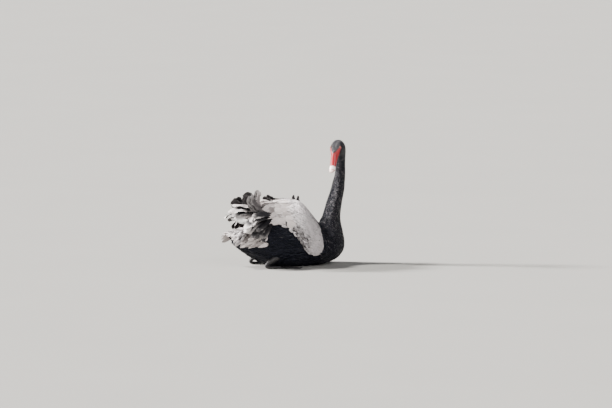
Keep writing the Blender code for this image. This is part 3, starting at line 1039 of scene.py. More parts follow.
@dataclass(frozen=True)
class FeatherFinish:
    """Barbed vanes with a shaft line, a paler fringe and a little difference from feather to feather; on
    some pieces the tone and the pale colours carry painted light and shade.
    """

    name: str
    deep: Triple
    light: Triple
    fringe: Triple
    roughness: float = 0.50
    sheen: float = 0.04
    specular: float = 0.40
    barbs: float = 70.0
    barb_slant: float = 3.0
    fringe_start: float = 0.62
    fringe_reach: Span = (0.35, 0.75)
    patchiness: float = 0.5
    shading: float = 0.35
    shaft: Span = (0.03, 0.12)
    relief: float = 0.0003

    def make(self) -> Material:
        """The material: tone picks between two colours, and edge and tip of each vane take the fringe.

        Returns:
            The material, which reads the point values vane (across, reach, tone) and pale.
        """
        board = Board(self.name)
        split = board.node("SeparateXYZ", {}, Vector=board.value("vane", "Vector"))
        across = board.sum("ABSOLUTE", split.outputs["X"])
        reach, tone = split.outputs["Y"], split.outputs["Z"]
        side = board.ramp(across, self.fringe_start, 1.0)
        rim = board.sum("MULTIPLY", side, board.ramp(reach, *self.fringe_reach))
        edge = board.sum("MAXIMUM", rim, board.ramp(reach, 0.5 + self.fringe_start / 2, 1.0))
        fringe = board.sum("MULTIPLY", edge, board.sum("MAXIMUM", board.value("pale"), 0.0))
        barbs_down = board.sum("MULTIPLY", reach, self.barbs)
        barbs_out = board.sum("MULTIPLY", across, self.barbs / self.barb_slant)
        barb = board.sum("SINE", board.sum("ADD", barbs_down, barbs_out))
        cloud = board.sum("MULTIPLY", board.noise(55.0), self.patchiness)
        mottled = board.sum("SUBTRACT", board.sum("ADD", tone, cloud), self.patchiness / 2)
        body = board.blend(mottled, self.deep, self.light)
        worn = board.blend(fringe, body, self.fringe)
        shade = board.sum("MULTIPLY", board.ramp(barb, -1.0, 1.0), self.shading)
        board.colour(board.blend(shade, worn, self.deep))
        shaft = board.sum("MULTIPLY", board.sum("SUBTRACT", 1.0, board.ramp(across, *self.shaft)), 2.0)
        board.bump(board.sum("ADD", board.sum("MULTIPLY", barb, 0.5), shaft), 0.8, self.relief)
        board.set(Roughness=self.roughness, Specular_IOR_Level=self.specular)
        board.set(Sheen_Weight=self.sheen, Sheen_Roughness=0.4)
        return board.material


@dataclass(frozen=True)
class SkinFinish:
    """Black skin under the coat, and bare red skin between the bill and the eye."""

    black: Triple = (0.012, 0.011, 0.013)
    red: Triple = (0.38, 0.005, 0.011)
    deep_red: Triple = (0.25, 0.003, 0.008)
    grain: float = 420.0

    def make(self) -> Material:
        """The bare value picks red, finely wrinkled and darker in its creases.

        Returns:
            The material.
        """
        board = Board("skin")
        grain = board.noise(self.grain, 4.0)
        red = board.blend(board.ramp(grain, 0.35, 0.65), self.deep_red, self.red)
        board.colour(board.blend(board.value("bare"), self.black, red))
        board.bump(grain, 0.6, 0.0004)
        board.set(Roughness=0.46, Specular_IOR_Level=0.5)
        return board.material


@dataclass(frozen=True)
class BillFinish:
    """Horn of the bill: deep red, a white band before the tip and a pale nail."""

    red: Triple = (0.40, 0.004, 0.014)
    deep: Triple = (0.28, 0.003, 0.009)
    white: Triple = (0.82, 0.76, 0.72)
    nail: Triple = (0.78, 0.60, 0.56)
    streaks: float = 160.0
    pits: float = 700.0

    def make(self) -> Material:
        """Band and nail values pick white and pale horn, over streaked red.

        Returns:
            The material.
        """
        board = Board("bill")
        red = board.blend(board.ramp(board.noise(self.streaks, 4.0), 0.35, 0.7), self.deep, self.red)
        banded = board.blend(board.value("band"), red, self.white)
        board.colour(board.blend(board.value("nail"), banded, self.nail))
        board.bump(board.noise(self.pits), 0.35, 0.0002)
        board.set(Roughness=0.34, Specular_IOR_Level=0.5, Coat_Weight=0.25, Coat_Roughness=0.25)
        return board.material


@dataclass(frozen=True)
class EyeFinish:
    """Wet eye: black pupil, red iris with fine rays, dark outside it. Edges are shares of 60 degrees."""

    pupil: Triple = (0.002, 0.002, 0.002)
    iris: Triple = (0.42, 0.018, 0.012)
    rim: Triple = (0.05, 0.006, 0.006)
    pupil_edge: Span = (0.30, 0.34)
    iris_edge: Span = (0.60, 0.72)

    def make(self) -> Material:
        """The ring value, 0 at the middle of the pupil, picks the colour.

        Returns:
            The material.
        """
        board = Board("eye")
        ring = board.value("ring")
        iris = board.blend(board.sum("MULTIPLY", board.noise(900.0, 2.0), 0.3), self.iris, self.rim)
        outer = board.blend(board.ramp(ring, *self.iris_edge), iris, self.rim)
        board.colour(board.blend(board.ramp(ring, *self.pupil_edge), self.pupil, outer))
        board.set(Roughness=0.06, Coat_Weight=1.0, Coat_Roughness=0.02, Specular_IOR_Level=0.6)
        return board.material


@dataclass(frozen=True)
class PlainSkinFinish:
    """Skin of one colour with finer scales or folds: the lids, legs and feet."""

    name: str
    base: Triple
    crease: Triple
    cells: float
    roughness: float = 0.5
    crease_width: float = 0.18

    def make(self) -> Material:
        """A cell pattern on Object coordinates gives scales, darker between them.

        Returns:
            The material.
        """
        board = Board(self.name)
        edges = {"feature": "DISTANCE_TO_EDGE"}
        cells = board.node("TexVoronoi", edges, Scale=self.cells, Vector=board.place())
        scale = board.ramp(cells.outputs["Distance"], 0.0, self.crease_width)
        patchy = board.blend(board.noise(90.0), self.base, self.crease)
        board.colour(board.blend(scale, self.crease, patchy))
        board.bump(scale, 0.7, 0.0005)
        board.set(Roughness=self.roughness)
        return board.material


def made(finish: object) -> Material:
    """A field of the palette, filled by making a finish."""
    return field(default_factory=finish.make)


@dataclass
class Palette:
    """Every finish of the model, made once, its colours in linear red, green and blue."""

    black: Material = made(
        FeatherFinish(
            "black_plumage", (0.002, 0.003, 0.007), (0.009, 0.010, 0.018), (0.05, 0.055, 0.085),
            sheen=0.0, specular=0.15,
        )
    )
    # Painted glints: the near-white fringe stands in for sunlight glinting off the tips of black feathers.
    neck: Material = made(
        FeatherFinish(
            "neck_plumage_painted_glints", (0.002, 0.003, 0.007), (0.009, 0.009, 0.016), (0.86, 0.81, 0.83),
            roughness=0.32, sheen=0.0, specular=0.25, fringe_start=0.45,
        )
    )
    # Painted sunlight: the near-white light and fringe colours stand in for glare on dark grey-brown
    # coverts.
    wing: Material = made(
        FeatherFinish(
            "wing_plumage", (0.05, 0.043, 0.046), (0.80, 0.75, 0.76), (0.90, 0.87, 0.87),
            sheen=0.2, fringe_start=0.72, shading=0.22,
        )
    )
    # Painted sunlight: near-white light and fringe colours in place of glare on black-brown scapulars.
    scapular: Material = made(
        FeatherFinish(
            "scapular_vanes_painted_sunlit", (0.06, 0.046, 0.044), (0.80, 0.72, 0.70), (0.90, 0.86, 0.84),
            sheen=0.2, barbs=330.0, fringe_start=0.66, shading=0.3,
        )
    )
    # Painted sunlight: pale light and fringe colours in place of glare on dark plumes; deep is their own
    # black.
    plume: Material = made(
        FeatherFinish(
            "plume_vanes_painted_sunlit", (0.008, 0.007, 0.009), (0.60, 0.54, 0.53), (0.88, 0.83, 0.81),
            sheen=0.02, specular=0.2, barbs=620.0, fringe_start=0.45, shading=0.3,
        )
    )
    white: Material = made(
        FeatherFinish(
            "white_flight_feathers", (0.62, 0.60, 0.58), (0.84, 0.83, 0.81), (0.88, 0.87, 0.85),
            barbs=600.0,
        )
    )
    skin: Material = made(SkinFinish())
    bill: Material = made(BillFinish())
    eye: Material = made(EyeFinish())
    lid: Material = made(PlainSkinFinish("eyelids", (0.46, 0.17, 0.11), (0.22, 0.05, 0.04), 1400.0))
    foot: Material = made(PlainSkinFinish("leg_skin", (0.030, 0.028, 0.029), (0.009, 0.008, 0.009), 420.0))
    claw: Material = made(PlainSkinFinish("claws", (0.035, 0.030, 0.028), (0.012, 0.010, 0.010), 60.0, 0.3))


def bare_skin(along: Array, around: Array) -> Array:
    """How bare the skin is: 1 on the red wedge from the bill to each eye, 0 under the coat.

    The wedge lies between two lines on the head, an upper one that leaves a V of feathers on the
    forehead and a lower one that drops to the corner of the mouth.

    Args:
        along: places on the loft.
        around: angles from the back, either side.

    Returns:
        The share of bareness, eased over a few degrees.
    """
    down = degrees_down(around)
    places = (21.25, 21.7, 22.2, 22.6, 22.85, 23.0)
    upper = np.interp(along, places, (60, 54, 44, 32, 16, 0))
    lower = np.interp(along, places, (70, 77, 88, 101, 111, 118))
    inside = np.minimum(down - upper, lower - down)
    return ease(inside, -2.0, 2.0) * ease(along, places[0], 21.5)


@dataclass
class Body:
    """The skin and the coats that lie on the flesh from the tail root to the bill."""

    loft: BodyLoft
    palette: Palette
    around_points: int = 112
    depth_places: Row = (0, 7, 11, 13, 17, 20, 22, 23)
    depth_mm: Row = (3.0, 4.0, 3.0, 2.2, 1.8, 1.4, 0.8, 0.3)
    bare_rise: float = 0.8
    eye_place: float = PLACE["brow"] + 0.22
    eye_angle: float = math.radians(64)
    eye_clear: float = 0.0060
    socket_depth: float = 0.0009
    wing_ends: Span = (2.6, 6.3)
    wing_places: Row = (2.6, 3.5, 4.0, 4.5, 5.0, 6.4)
    wing_degrees: Row = (36, 42, 52, 70, 92, 100)
    flat_clear: float = 0.003
    shoulder_band: Span = (0.12, 0.42)
    shoulder_lowest: float = 120

    def skin(self) -> None:
        """One skin in place of all the nodes of flesh, sunk below them by the depth of the coat."""
        root, nape = PLACE["neck_root"], PLACE["nape"]
        lengths = (
            np.linspace(0, root, 150, endpoint=False),
            np.linspace(root, nape, 90, endpoint=False),
            np.linspace(nape, PLACE["bill_base"], 150),
        )
        along = np.concatenate(lengths)[:, None]
        around = turns(self.around_points)[None, :]
        bare = bare_skin(along, around)
        depth = np.interp(along, self.depth_places, self.depth_mm) / 1000 * (1 - self.bare_rise * bare)
        rings = self.loft.raised(along, around, -depth)
        socket = (self.socket_depth * self.eye_nearness(rings))[..., None]
        rings = rings - self.loft.radial(along, around) * socket
        rings[..., 2] = np.maximum(rings[..., 2], 0.0)
        flesh = ("head", "neck_upper", "neck_lower", "trunk", "rump")
        put_in_scene("skin", tube_plan(rings, {"bare": bare}), self.palette.skin, "black_plumage", *flesh)

    def eye_centres(self) -> Array:
        """The two points of the loft where the eyes sit, left then right."""
        angle = np.array([self.eye_angle, -self.eye_angle])
        return self.loft.point(np.full(2, self.eye_place), angle)

    def eye_nearness(self, points: Array) -> Array:
        """1 at an eye's middle, 0 from the eye's clear radius outwards."""
        away = np.linalg.norm(points[..., None, :] - self.eye_centres(), axis=-1).min(axis=-1)
        return 1 - ease(away, self.eye_clear * 0.55, self.eye_clear)

    def on_head(self, along: Array, around: Array, points: Array) -> Array:
        """Which roots of the head coat stay: those off the bare skin and clear of the eyes."""
        return (bare_skin(along, around) < 0.35) & (self.eye_nearness(points) < 0.02)

    def on_trunk(self, along: Array, around: Array, points: Array) -> Array:
        """Which roots of the trunk coat stay: those that no wing covers, and off the flat of the belly.

        Args:
            along: the roots' places on the loft.
            around: their angles.
            points: their points.

        Returns:
            True for each root that stays.
        """
        lower = np.interp(along, self.wing_places, self.wing_degrees)
        rear, front = self.wing_ends
        under_wing = (along > rear) & (along < front) & (degrees_down(around) < lower)
        return ~under_wing & (points[..., 2] > self.flat_clear)

    def before_wing(self, along: Array, around: Array, _: Array) -> Array:
        """Which roots of the shoulder coat stay: a band just in front of each wing's front edge.

        Args:
            along: the roots' places on the loft.
            around: their angles.

        Returns:
            True for each root that stays.
        """
        down = degrees_down(around)
        front, lowest, _ = WING_ROWS[-1]
        ahead = along - (front - WING_FRONT_SWEEP * np.clip(down / lowest, 0, 1))
        near, far = self.shoulder_band
        return (ahead > near) & (ahead < far) & (down < self.shoulder_lowest)

    def coats(self) -> None:
        """The coats of the head, the neck, the breast, the trunk and the shoulders, each its own piece."""
        body_coat = partial(
            Coat,
            surface=self.loft,
            around=(0.0, FULL_TURN),
            gap_places=(0, 2, 4, 6, 8, 9, 10, 11, 12, 13, 15, 17, 19, 20.5, 22, 23),
            gap_mm=(9, 10.5, 11, 10, 8.5, 7.2, 6.4, 5.6, 5.0, 4.5, 3.9, 3.2, 2.5, 2.1, 1.8, 1.6),
        )
        # The neck finish's near-white fringe is a painted glint; the pale ranges set how many head, neck,
        # breast and shoulder feathers carry it.
        head = body_coat(
            "coat_head", along=(17.0, 22.95), outline=Outline.TAPERED, rings=3, thickness=0.0002,
            tip_lift=0.0002, sway=5.0, overlap=3.0, breadth=1.15, camber=0.12, longest_step=0.8,
            pale=(-1.0, 1.0), seed=11,
        )
        neck = body_coat(
            "coat_neck", along=(10.4, 17.2), outline=Outline.TAPERED, rings=4, thickness=0.0003,
            camber=0.14, pale=(-1.6, 1.1), sway=10.0, seed=12,
        )
        breast = body_coat(
            "coat_breast", along=(6.6, 10.6), rings=5, tip_lift=0.0008, overlap=2.8, camber=0.12,
            thickness=0.0004, pale=(-2.2, 0.45), seed=13,
        )
        trunk = body_coat(
            "coat_trunk", along=(0.25, 6.9), tip_lift=0.0018, sway=12.0, overlap=3.2,
            thickness=0.0004, longest_step=0.9, pale=(0.0, 0.5), seed=14,
        )
        shoulder = body_coat(
            "coat_shoulder", along=(6.5, 7.7), tip_rise=0.0075, overlap=3.6, thickness=0.0004,
            tip_lift=0.001, pale=(-2.2, 0.45), seed=15,
        )
        for coat, keep, material in (
            (head, self.on_head, self.palette.neck),
            (neck, None, self.palette.neck),
            (breast, self.on_trunk, self.palette.neck),
            (trunk, self.on_trunk, self.palette.black),
            (shoulder, self.before_wing, self.palette.neck),
        ):
            put_in_scene(coat.name, coat.plan(keep), material, "black_plumage")


@dataclass
class Sided:
    """What the sub-assemblies of one side share."""

    palette: Palette
    side_name: str

    @property
    def side(self) -> int:
        """1 on the left, -1 on the right."""
        return SIDES[self.side_name]

    def put(self, name: str, plan: MeshPlan, material: Material, slot: str, *replaced: str) -> None:
        """Puts a piece in the scene, with the side added to its name and to the nodes it replaces."""
        nodes = (f"{node}_{self.side_name}" for node in replaced)
        put_in_scene(f"{name}_{self.side_name}", plan, material, slot, *nodes)


@dataclass
class Wing(Sided):
    """One folded wing: its bulk, the coverts on it, and the broad scapulars that hang over its end."""

    loft: BodyLoft
    rows: int = 70
    columns: int = 40
    scapular_rows: Row = (0.00, 0.07, 0.14, 0.21, 0.28, 0.35, 0.42)
    scapulars_across: int = 7
    scapular_spread: float = 0.92
    scapular_length: Span = (0.056, 0.068)
    scapular_width: Span = (0.034, 0.042)
    scapular_tones: Row = (0.30, 0.65, 1.0, 1.1)

    def __post_init__(self) -> None:
        """The sheet that all the wing's feathers lie on."""
        self.sheet = WingSheet(self.loft, self.side)

    def bulk(self) -> None:
        """The wing's bulk under its feathers, a closed slab sunk below the node by the coat's depth."""
        along = np.linspace(0.0, 1.0, self.rows)[:, None]
        around = np.linspace(0.0, 1.0, self.columns)[None, :]
        outer = self.sheet.lifted(along, around, -self.sheet.coat)
        inner = self.sheet.bed(along, around)
        plan = shell_plan(outer, inner, {"bare": np.zeros(outer.shape[:2])})
        self.put("wing_bulk", plan, self.palette.skin, "wing_plumage", "wing")

    def coverts(self) -> None:
        """Coverts in rows, small and speckled at the front, broad and round-ended behind; high tone gives
        them the painted sunlit pale, and some at the lower rear edge are darkened as painted shade.
        """
        coat = Coat(
            "coverts", self.sheet, (0.30, 1.02), (-0.01, 1.0),
            (0.3, 0.45, 0.6, 0.75, 0.88, 1.0), (15, 12, 9, 7, 5.6, 4.8),
            breadth=1.45, depth=self.sheet.coat, camber=0.09, droop=12.0, tip_lift=0.0012,
            pale=(0.0, 1.0), tone=(0.75, 1.2), edge_shade=1.3, longest_step=0.25, seed=21,
        )
        self.put(coat.name, coat.plan(), self.palette.wing, "wing_plumage")

    def scapulars(self) -> None:
        """Broad round-ended feathers in staggered rows, the last of them hanging over the wing's end."""
        rng = np.random.default_rng(51)
        roots = []
        for row, along in enumerate(self.scapular_rows):
            count = self.scapulars_across - row % 2
            roots += [(along, (place + 0.5) / count * self.scapular_spread) for place in range(count)]
        feathers = [
            LaidFeather(
                surface=self.sheet,
                along=along + rng.uniform(-0.015, 0.015),
                around=around,
                length=rng.uniform(*self.scapular_length),
                width=rng.uniform(*self.scapular_width),
                heading=4 + 6 * around + rng.uniform(-6, 6),
                level=(-0.003, rng.uniform(0.0005, 0.0045)),
                phase=rng.uniform(0, 6),
                pale=rng.uniform(0.3, 1.0),
                tone=rng.choice(self.scapular_tones) + rng.uniform(-0.08, 0.08),
            )
            for along, around in roots
        ]
        self.put("scapulars", feathers_plan(feathers), self.palette.scapular, "wing_plumage")


@dataclass
class MantleSheet(Surface):
    """The strip of the back between the wings, level with their inner edges."""

    loft: BodyLoft
    half_angle: float = math.radians(9)
    hollow: float = 0.003
    fade: Span = (1.6, 2.6)

    def point(self, along: Array, around: Array) -> Array:
        """The loft's point raised by the height of the wings' inner edges, a little hollow midway.

        Args:
            along: places on the loft.
            around: from -1 at the right wing to 1 at the left.

        Returns:
            The points.
        """
        places = np.array(WING_ROWS)[:, 0]
        share = np.interp(along, places, np.linspace(0, 1, len(places)))
        edge = WingSheet(self.loft, 1).seat(share, np.zeros_like(share))[2]
        height = (edge - self.hollow * (1 - around**2)) * ease(along, *self.fade)
        return self.loft.raised(along, around * self.half_angle, height)


@dataclass
class Mantle:
    """The feathers of the back between the wings, and the few that stand up from it."""

    loft: BodyLoft
    palette: Palette
    # Two upright tips, then a ruffled lump: x, y to the left, z, climb, length, width, curl, roll
    raised_rows: Table = (
        (0.030, 0.030, 0.268, 78, 0.062, 0.022, 20, 74),
        (0.046, 0.022, 0.266, 84, 0.060, 0.020, 16, 66),
        (-0.050, 0.036, 0.286, 26, 0.072, 0.060, 34, 34),
        (-0.064, 0.042, 0.284, 24, 0.068, 0.062, 34, 30),
        (-0.040, 0.028, 0.288, 22, 0.066, 0.056, 30, 26),
        (-0.076, 0.034, 0.288, 24, 0.060, 0.056, 30, 30),
        (-0.058, 0.050, 0.278, 30, 0.062, 0.050, 34, 40),
    )

    def coat(self) -> None:
        """A coat that fills the groove between the wings."""
        coat = Coat(
            "coat_mantle", MantleSheet(self.loft), (2.2, 7.4), (-1.15, 1.15), (2.2, 4.5, 7.4), (13, 11, 8),
            overlap=3.0, breadth=1.35, depth=0.004, camber=0.12, sway=9.0, tip_lift=0.002,
            pale=(0.1, 0.8), longest_step=0.8, seed=61,
        )
        # The plume finish's pale colours are painted sunlight.
        put_in_scene(coat.name, coat.plan(), self.palette.plume, "black_plumage")

    def raised(self) -> None:
        """Dark feather tips that stand up between the wings, and a ruffled lump behind on the left."""
        feathers = [
            Blade(
                root=(x, -y, z), heading=4, climb=climb, length=length, width=width, curl=curl,
                roll=roll, side=1, ripple=0.0022, notch=0.2, outline=Outline.ROUND, pale=0.25,
                tone=-0.15, rows=30, columns=11, phase=90 * x,
            )
            for x, y, z, climb, length, width, curl, roll in self.raised_rows
        ]
        put_in_scene("raised_feathers", feathers_plan(feathers), self.palette.plume, "black_plumage")


# Plumes on the right side: root, heading, climb, length, width, curl, roll and tone; the tone is painted
# light, high for plumes painted sunlit and low for those painted in shade
PLUMES = {
    "tertial_1": ((-0.164, -0.042, 0.286), 4, 30, 0.090, 0.060, 92, 68, 0.55),
    "tertial_2": ((-0.168, -0.086, 0.264), 4, 14, 0.122, 0.060, 62, 66, 0.15),
    "tertial_3": ((-0.170, -0.058, 0.258), -2, 20, 0.170, 0.054, -36, 26, 1.0),
    "tertial_4": ((-0.166, -0.110, 0.238), 2, 14, 0.134, 0.060, -92, 42, 0.8),
    "tertial_5": ((-0.160, -0.124, 0.204), 0, 0, 0.102, 0.050, -64, 56, -0.2),
}


@dataclass
class Plumes(Sided):
    """The curled and ruffled inner wing feathers over the rump, and the white flight feathers below."""

    layers: int = 5
    layer_turn: float = 5
    layer_climb: float = 4
    layer_roll: float = 9
    # Tone of the dark layers between the pale ones, painted shade.
    shaded_layer_tone: float = -0.2
    hanging: int = 9
    hanging_heights: Span = (0.262, 0.200)
    hanging_bow: float = 0.012
    flight_layers: int = 5
    flight_length: float = 0.140
    flight_width: float = 0.034

    def __post_init__(self) -> None:
        """The plumes of the left side hang lower and are shorter."""
        self.droop, self.share = (14.0, 0.86) if self.side_name == "left" else (0.0, 1.0)

    def layered(self, rng: Random) -> Iterator[Blade]:
        """Each plume as a few rippled blades that set out together and part towards their tips.

        Args:
            rng: the source of the small unevenness.

        Returns:
            Each blade, in turn painted pale as sunlit and dark as painted shade.
        """
        for root, heading, climb, length, width, curl, roll, tone in PLUMES.values():
            for layer in range(self.layers):
                spread = layer - (self.layers - 1) / 2
                shift = rng.uniform(-0.003, 0.003, 3) + np.array([0.0, 0.004 * spread, -0.003 * spread])
                yield Blade(
                    root=tuple(np.array(root) + shift),
                    heading=heading + self.layer_turn * spread + rng.uniform(-3, 3),
                    climb=climb - self.droop - self.layer_climb * spread,
                    length=length * self.share * (1 - 0.07 * abs(spread)),
                    width=width * rng.uniform(0.72, 0.98),
                    curl=curl * rng.uniform(0.88, 1.08),
                    roll=roll + self.layer_roll * spread,
                    side=self.side,
                    ripple=rng.uniform(0.0020, 0.0042),
                    waves=rng.uniform(2.2, 3.8),
                    phase=rng.uniform(0, FULL_TURN),
                    notch=0.35,
                    # The fringe follows the plume's painted light.
                    pale=rng.uniform(0.5, 1.0) * min(1.0, 0.3 + tone),
                    tone=rng.uniform(0.7, 1.1) * tone if layer % 2 == 0 else self.shaded_layer_tone,
                )

    def hung(self, rng: Random) -> Iterator[Blade]:
        """Small dark blades in a bowed row down the wing's rear edge, under the plumes.

        Args:
            rng: the source of the small unevenness.

        Returns:
            Each blade, from the top down.
        """
        for row in range(self.hanging):
            share = row / (self.hanging - 1)
            bow = self.hanging_bow * math.sin(math.pi * share)
            yield Blade(
                root=(-0.146 - 0.006 * (row % 3), -0.122 - bow, between(self.hanging_heights, share)),
                heading=6 + rng.uniform(-8, 8),
                climb=12 - 62 * share + rng.uniform(-8, 8) - self.droop / 2,
                length=rng.uniform(0.070, 0.096),
                width=rng.uniform(0.026, 0.038),
                curl=rng.uniform(-50, -10),
                roll=rng.uniform(50, 78),
                side=self.side,
                ripple=rng.uniform(0.0012, 0.0030),
                phase=rng.uniform(0, FULL_TURN),
                notch=0.35,
                pale=rng.uniform(0.0, 0.45),
                tone=-0.3,
                rows=36,
                columns=11,
            )

    def ruffled(self) -> None:
        """The plumes and the small blades under them, as one piece."""
        rng = np.random.default_rng(31 + self.side)
        plan = feathers_plan([*self.layered(rng), *self.hung(rng)])
        self.put("plumes", plan, self.palette.plume, "wing_plumage", *PLUMES)

    def flight_feathers(self) -> None:
        """The white flight feathers, folded one on another under the plumes."""
        blades = [
            Blade(
                root=(-0.172 + 0.016 * spread, -0.056 - 0.020 * spread, 0.219 - 0.0088 * spread),
                heading=-12 + 7 * spread,
                climb=4 - 2 * spread,
                length=self.flight_length * self.share * (1 - 0.09 * spread),
                width=self.flight_width,
                curl=3,
                roll=52 + 12 * spread,
                side=self.side,
                thickness=0.0010,
                outline=Outline.TAPERED,
                tone=0.3 + 0.6 * spread,
            )
            for spread in np.linspace(0, 1, self.flight_layers)
        ]
        material, slot = self.palette.white, "white_flight_feathers"
        self.put("flight_feathers", feathers_plan(blades), material, slot, "primaries")


@dataclass
class TailSheet(Surface):
    """The arched fan of the tail: along runs from the tips to the root, around from right to left."""

    root: Span = (-0.226, 0.188)
    tip: Span = (-0.334, 0.163)
    half_widths: Span = (0.046, 0.088)
    shorter_sides: float = 0.022
    droop: float = 0.060
    arch: float = 2.4
    sink: Span = (0.0, 0.0)

    def point(self, along: Array, around: Array) -> Array:
        """Straight from root to tip, widening, with sides that droop by |v|^arch and end sooner by v^2.

        Args:
            along: share of the way forward from the tips.
            around: v, from -1 on the right edge to 1 on the left.

        Returns:
            The points, lowered by the sink at the root and at the tips.
        """
        share = 1 - along
        x = between((self.root[0], self.tip[0] + self.shorter_sides * around**2), share)
        y = between(self.half_widths, share) * np.sin(around * math.pi / 2)
        fall = self.droop * np.abs(around) ** self.arch * (1 + 2 * share) / 3
        z = between((self.root[1], self.tip[1]), share) - fall - between(self.sink, share)
        return stacked(x, y, z)


@dataclass
class UndertailSheet(Surface):
    """The soft mass under the tail: ovals from the vent out to the fan's tips.

    Each oval is given as its place back, the height of its middle, its half height and half width.
    """

    vent: Row = (-0.245, 0.130, 0.050, 0.064)
    tip: Row = (-0.296, 0.150, 0.010, 0.050)

    def point(self, along: Array, around: Array) -> Array:
        """Middle and width run straight from vent to tip; the half height falls with the share squared.

        Args:
            along: share of the way forward from the tip.
            around: angles from the top of the oval.

        Returns:
            The points.
        """
        share = 1 - along
        backs, middles, heights, half_widths = zip(self.vent, self.tip)
        height = between(heights, np.clip(share, 0.0, 1.0) ** 2)
        y = between(half_widths, share) * np.sin(around)
        z = between(middles, share) + height * np.cos(around)
        return stacked(between(backs, share), y, z)


@dataclass
class Tail:
    """The tail fan: long feathers side by side, with short coverts over and under their roots."""

    loft: BodyLoft
    palette: Palette
    feathers: int = 25
    fan_reach: float = 0.92
    rows: int = 26
    columns: int = 9
    half_width: float = 0.115
    layer_sink: Span = (0.002, 0.010)
    middle_rise: float = 0.0039
    camber: float = 0.0010
    thickness: float = 0.0006
    bedding: float = 0.0025
    cells: int = 5
    cell_size: float = 0.19
    rump_rows: Row = (2.65, 2.3, 1.95, 1.6, 1.25)
    rump_gap: float = 7.0
    rump_end: float = 97
    # Degrees from the back past which rump feathers are painted pale as sunlit.
    painted_sunlit_from: float = 57

    def fan(self) -> None:
        """Two layers of long feathers, each on its own strip of the sheet, the middle ones on top."""
        rng = np.random.default_rng(41)
        share = np.linspace(0.0, 1.0, self.rows)[:, None]
        x = np.linspace(-1.0, 1.0, self.columns)[None, :]
        thick = self.thickness * (1 - 0.6 * np.abs(x))
        plans = []
        for index, v in enumerate(np.linspace(-self.fan_reach, self.fan_reach, self.feathers)):
            sheet = TailSheet(sink=tuple(sink * (index % 2) for sink in self.layer_sink))
            level = self.middle_rise * (1 - abs(v)) + rng.uniform(-0.0003, 0.0003)
            reach = share * rng.uniform(0.88, 1.0)
            half = self.half_width * Outline.BROAD.width(np.minimum(share, 0.995))
            spread = v + half * x * frayed(share[:, 0], x[0], 0.3, 5.0 * v)
            normal = sheet.outward(1 - reach, spread)
            normal = normal * np.sign(normal[..., 2:3])
            line = sheet.point(1 - reach, spread) - normal * self.bedding
            level = level + self.camber * (1 - x**2)
            # Tone 0.5 to 1.1 gives the fan the plume finish's pale: painted sunlight on a black tail.
            vane = stacked(x, share, rng.uniform(0.5, 1.1))
            pale = np.full(vane.shape[:2], rng.uniform(0.2, 0.7))
            outer = line + normal * (level + thick)[..., None]
            inner = line + normal * (level - thick)[..., None]
            row, column = divmod(index, self.cells)
            cell = (column / self.cells, row / self.cells, self.cell_size, self.cell_size)
            plans.append(shell_plan(outer, inner, {"vane": vane, "pale": pale}, cell))
        put_in_scene("tail_fan", joined(plans), self.palette.plume, "black_plumage", "tail")

    def coverts(self) -> None:
        """Coverts over the tail's root, in rows that shorten forwards."""
        coat = Coat(
            "coverts_tail", TailSheet(), (0.45, 1.05), (-0.96, 0.96), (0.0, 1.0), (13, 11),
            overlap=2.6, breadth=1.3, depth=0.001, thickness=0.0007, sway=9.0, tip_lift=0.0012,
            tip_rise=0.0035, pale=(0.2, 0.8), longest_step=0.5, seed=42,
        )
        # The wing finish's pale is painted sunlight here too.
        put_in_scene(coat.name, coat.plan(), self.palette.wing, "black_plumage")

    def undertail(self) -> None:
        """Soft black coverts over the mass that fills the hollow under the fan."""
        coat = Coat(
            "undertail_coverts", UndertailSheet(), (0.42, 1.1), (1.30, FULL_TURN - 1.30), (0.0, 1.0),
            (9, 11), overlap=2.8, breadth=1.3, sway=12.0, tip_lift=0.0022, longest_step=0.4, seed=43,
        )
        put_in_scene(coat.name, coat.plan(), self.palette.black, "black_plumage")

    def rump_feather(self, side: int, along: float, degrees: float, rng: Random) -> LaidFeather:
        """One loose feather of the rump, dark on its back, and further down painted pale as sunlit, a
        painted highlight.

        Args:
            side: 1 on the left, -1 on the right.
            along: the row's place on the loft.
            degrees: the root's angle from the middle of the back.
            rng: the source of the unevenness.

        Returns:
            The feather.
        """
        down = math.radians(degrees)
        lit = degrees > self.painted_sunlit_from
        return LaidFeather(
            surface=self.loft,
            along=along + rng.uniform(-0.10, 0.10),
            around=side * down,
            length=rng.uniform(0.040, 0.066),
            width=rng.uniform(0.015, 0.023),
            heading=side * (8 + 14 * down + rng.uniform(-14, 14)),
            level=(0.0, rng.uniform(0.002, 0.011)),
            phase=rng.uniform(0, 6),
            pale=rng.uniform(0.2, 1.0) * (1.0 if lit else 0.25),
            tone=rng.uniform(0.3, 1.1) if lit else rng.uniform(-0.2, 0.15),
            notch=0.3,
            outline=Outline.TAPERED,
            rows=20,
            columns=7,
        )

    def rump_feathers(self) -> None:
        """Loose feathers over the rump: dark on its back, ragged and painted pale as sunlit down each side.
        """
        rng = np.random.default_rng(44)
        feathers = [
            self.rump_feather(side, along, degrees, rng)
            for side in SIDES.values()
            for row, along in enumerate(self.rump_rows)
            for degrees in np.arange(2 + 4 * (row % 2), self.rump_end, self.rump_gap)
        ]
        put_in_scene("rump_side_feathers", feathers_plan(feathers), self.palette.scapular, "black_plumage")


